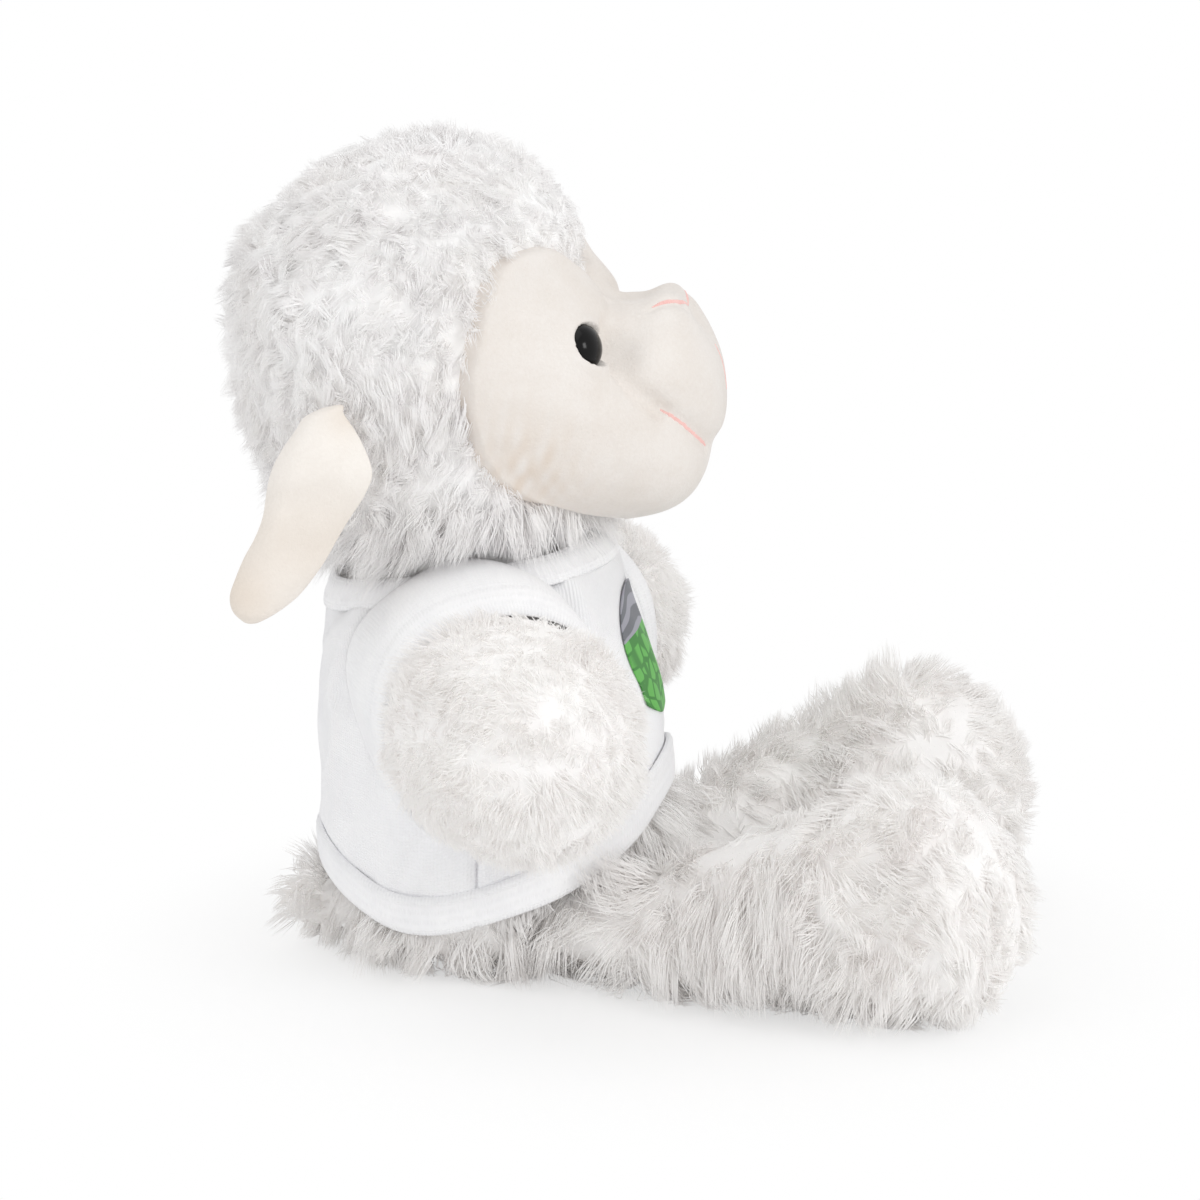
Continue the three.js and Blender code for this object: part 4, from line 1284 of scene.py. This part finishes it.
curlyPile = {
    "density": 2.5, "length": 5.8 * mm, "thick": 0.25 * mm, "perLock": 18, "stand": 0.95, "toss": 0.55,
    "spread": 0.3, "swirl": 0.4, "swirlSize": 6 * mm, "curl": 1.1 * mm, "curlTurns": 0.8, "droop": 0.4,
    "sag": 0.14, "pull": 0.55, "coverReach": 5 * mm, "shortest": 1.2 * mm, "seed": 3,
}
legPile = {
    "density": 1.5, "length": 9.0 * mm, "thick": 0.3 * mm, "perLock": 20, "stand": 0.72, "toss": 0.48,
    "spread": 0.34, "swirl": 0.6, "swirlSize": 10 * mm, "curl": 0.9 * mm, "curlTurns": 0.4, "droop": 0.45,
    "sag": 0.14, "pull": 0.5, "coverReach": 5 * mm, "shortest": 1.2 * mm, "seed": 5,
}
armPile = {**legPile, "density": 2.2, "length": 4.3 * mm, "perLock": 14, "stand": 0.8, "swirl": 0.45,
           "swirlSize": 5 * mm, "spread": 0.5, "toss": 0.5, "pull": 0.3, "curl": 0.4 * mm,
           "thick": 0.26 * mm,
           "sag": 0.06, "coverReach": 2.0 * mm, "shortest": 0.8 * mm, "seed": 7}
tailPile = {**legPile, "length": 8 * mm, "stand": 0.9, "seed": 17}
trunkPile = {**legPile, "length": 9.5 * mm, "perLock": 26, "density": 2.0, "seed": 13}


def alongSkin(way, out):
    return way - out * (way * out).sum(axis=1, keepdims=True)


def combHead(points, out):
    # down the sides and back, away from the cheeks, over the brow, and long over the collar
    way = alongSkin(np.tile([0.0, 0.12, -0.55], (len(points), 1)), out)
    low = np.clip((0.127 - points[:, 2]) / 0.014, 0, 1)
    middle = points * [1, 1, 0] - [0, 0.006, 0]
    way += unit(middle) * (0.6 * low)[:, None]
    way[:, 2] -= 0.6 * low
    behind = behindRim(points, faceRim, faceSettings)
    close = np.exp(-np.maximum(behind, 0) / (4 * mm))
    brow = np.clip((points[:, 2] - 0.160) / 0.01, 0, 1)
    way[:, 1] += close * (0.35 * (1 - brow) - 0.5 * brow)
    chin = np.clip((-points[:, 1] + 0.005) / 0.02, 0, 1)
    way[:, 2] -= 0.5 * low * chin
    crown = np.clip(-points[:, 1] / 0.014, 0, 1) * np.clip((points[:, 2] - 0.162) / 0.012, 0, 1)
    return way, (1 + 0.8 * low + 0.9 * low * chin) * (1 - 0.5 * crown)


def onFace(points):
    return behindRim(points, faceRim, faceSettings) < 0.6 * mm


def combArm(points, out):
    # out from the paw's middle, apart at the seam across its end
    way = np.zeros_like(points)
    way[:, 2] = -0.3
    at, axis = axisOf(np.sign(points[:, 0].mean()))
    along = (points / mm - at) @ axis - sleeveSettings["mouth"]
    way -= axis * np.exp(-np.maximum(along, 0) / 4)[:, None]
    reach = np.ones(len(points))
    for line in armSeams:
        far, spot = nearPath(points, line)
        close = np.exp(-(far / (3.5 * mm)) ** 2)
        way += unit(points - spot) * (close * 0.9)[:, None]
        reach *= 1 - 0.7 * np.exp(-(far / (1.8 * mm)) ** 2)
    return alongSkin(way, out), reach


def combLeg(points, out):
    # forward and down along the leg, and out all round at the foot
    foot = np.clip((-points[:, 1] - 0.085) / 0.03, 0, 1)
    way = np.zeros_like(points)
    hip = np.clip((points[:, 1] + 0.05) / 0.015, 0, 1)
    way[:, 1] = -0.45 * (1 - foot) * (1 - hip) + 0.5 * hip
    way[:, 2] = -0.4 * (1 - foot) - 0.1 * foot
    low = np.clip((0.03 - points[:, 2]) / 0.02, 0, 1)
    way[:, 2] -= 0.35 * low
    return alongSkin(way, out), (1 + 0.25 * low + 0.4 * hip) * (1 - 0.45 * foot)


def combSeat(points, out):
    # down all round, and forward over the roots of the legs
    way = np.zeros_like(points)
    low = np.clip((0.02 - points[:, 2]) / 0.015, 0, 1)
    way[:, 2] = -0.35 - 0.3 * low
    front = np.clip(-points[:, 1] / 0.02, 0, 1)
    way[:, 1] = -0.5 * front
    return alongSkin(way, out), 1 + 0.3 * front + 0.2 * low


armSeamPixels = [(497, 764), (525, 767), (560, 768), (590, 767), (612, 764)]
armSeams = []
for sideName, side in sides:
    line = spotsUnder(armSeamPixels, bvhOf(skins["arm_right"]))
    armSeams.append(line * [-side, 1, 1])

earTree = bvhOf(*ears)
growPile("head_wool", skins["head"], "head", "curly_wool", curlyPile, combHead, onFace, None,
         (earTree, clothTree))
for sideName, side in sides:
    for limb, settings, combing in (("arm", armPile, combArm), ("leg", legPile, combLeg)):
        growPile(f"{limb}_pile_{sideName}", skins[f"{limb}_{sideName}"], f"{limb}_{sideName}", "shaggy_wool",
                 settings, combing, None, clothTree, (clothTree,))
for node, settings in (("trunk", trunkPile), ("tail", tailPile)):
    growPile(node + "_pile", skins[node], node, "shaggy_wool", settings, combSeat, None, clothTree,
             (clothTree,))


# Floor, background and light

stageSettings = {
    "floorWhite": (250, 250, 250),
    "shadowShare": 0.44,  # how much of the floor's shadow the camera sees
    "clearFrom": 0.065,  # the floor turns to plain white between these distances from under the lamb
    "clearTo": 0.15,
    "world": 0.7,
    "bounces": 14,
}
lamps = {
    "overhead": {"place": (-0.25, 0.15, 1.1), "size": 0.9, "watts": 1.8},
    "front": {"place": (-0.62, -0.72, 0.5), "size": 0.32, "watts": 2.4},
    "back": {"place": (-0.7, 0.8, 0.4), "size": 0.6, "watts": 1.2},
}


def seenPlain(tree):
    # 1 for the rays that show the background: from the camera, and through gloss and glass
    ray = addNode(tree, "ShaderNodeLightPath")
    first = addNode(tree, "ShaderNodeMath", operation="MAXIMUM")
    both = addNode(tree, "ShaderNodeMath", operation="MAXIMUM")
    tree.links.new(ray.outputs["Is Camera Ray"], first.inputs[0])
    tree.links.new(ray.outputs["Is Glossy Ray"], first.inputs[1])
    tree.links.new(first.outputs["Value"], both.inputs[0])
    tree.links.new(ray.outputs["Is Transmission Ray"], both.inputs[1])
    return both.outputs["Value"]


def makeFloor(settings):
    body = bmesh.new()
    bmesh.ops.create_grid(body, x_segments=1, y_segments=1, size=6.0)
    floor = newPiece("floor", body)
    material, tree, shader = newMaterial("floor")
    shader.inputs["Base Color"].default_value = linear(*settings["floorWhite"])
    shader.inputs["Roughness"].default_value = 0.9
    place = addNode(tree, "ShaderNodeTexCoord")
    centre = addNode(tree, "ShaderNodeVectorMath", {1: (0, 0.04, 0)}, operation="ADD")
    far = addNode(tree, "ShaderNodeVectorMath", operation="LENGTH")
    reach = {"From Min": settings["clearFrom"], "From Max": settings["clearTo"],
             "To Min": 1 - settings["shadowShare"]}
    edge = addNode(tree, "ShaderNodeMapRange", reach, interpolation_type="SMOOTHSTEP")
    seen = addNode(tree, "ShaderNodeMath", operation="MULTIPLY")
    glow = addNode(tree, "ShaderNodeEmission", {"Strength": 1.0})
    mix = addNode(tree, "ShaderNodeMixShader")
    link = tree.links.new
    link(place.outputs["Object"], centre.inputs[0])
    link(centre.outputs["Vector"], far.inputs[0])
    link(far.outputs["Value"], edge.inputs["Value"])
    link(edge.outputs["Result"], seen.inputs[0])
    link(seenPlain(tree), seen.inputs[1])
    link(seen.outputs["Value"], mix.inputs["Fac"])
    link(shader.outputs["BSDF"], mix.inputs[1])
    link(glow.outputs["Emission"], mix.inputs[2])
    link(mix.outputs["Shader"], tree.nodes["Material Output"].inputs["Surface"])
    floor.data.materials.append(material)


def makeWorld(strength):
    world = bpy.data.worlds.new("world")
    scene.world = world
    world.use_nodes = True
    tree = world.node_tree
    light = tree.nodes["Background"]
    light.inputs["Color"].default_value = (1, 1, 1, 1)
    light.inputs["Strength"].default_value = strength
    plain = addNode(tree, "ShaderNodeBackground", {"Color": (1, 1, 1, 1), "Strength": 1.0})
    mix = addNode(tree, "ShaderNodeMixShader")
    tree.links.new(seenPlain(tree), mix.inputs["Fac"])
    tree.links.new(light.outputs["Background"], mix.inputs[1])
    tree.links.new(plain.outputs["Background"], mix.inputs[2])
    tree.links.new(mix.outputs["Shader"], tree.nodes["World Output"].inputs["Surface"])


def makeLamp(name, place, size, watts):
    data = bpy.data.lights.new(name, "AREA")
    data.size = size
    data.energy = watts
    lamp = bpy.data.objects.new(name, data)
    lamp.location = place
    aim = Vector((0, -0.03, 0.08)) - Vector(place)
    lamp.rotation_mode = "QUATERNION"
    lamp.rotation_quaternion = aim.to_track_quat("-Z", "Y")
    scene.collection.objects.link(lamp)


makeFloor(stageSettings)
makeWorld(stageSettings["world"])
for name, settings in lamps.items():
    makeLamp(name, **settings)
scene.view_settings.view_transform = "Standard"
scene.cycles.diffuse_bounces = stageSettings["bounces"]  # light passes deep into the white pile
scene.cycles.max_bounces = stageSettings["bounces"] + 4
print("stage made")
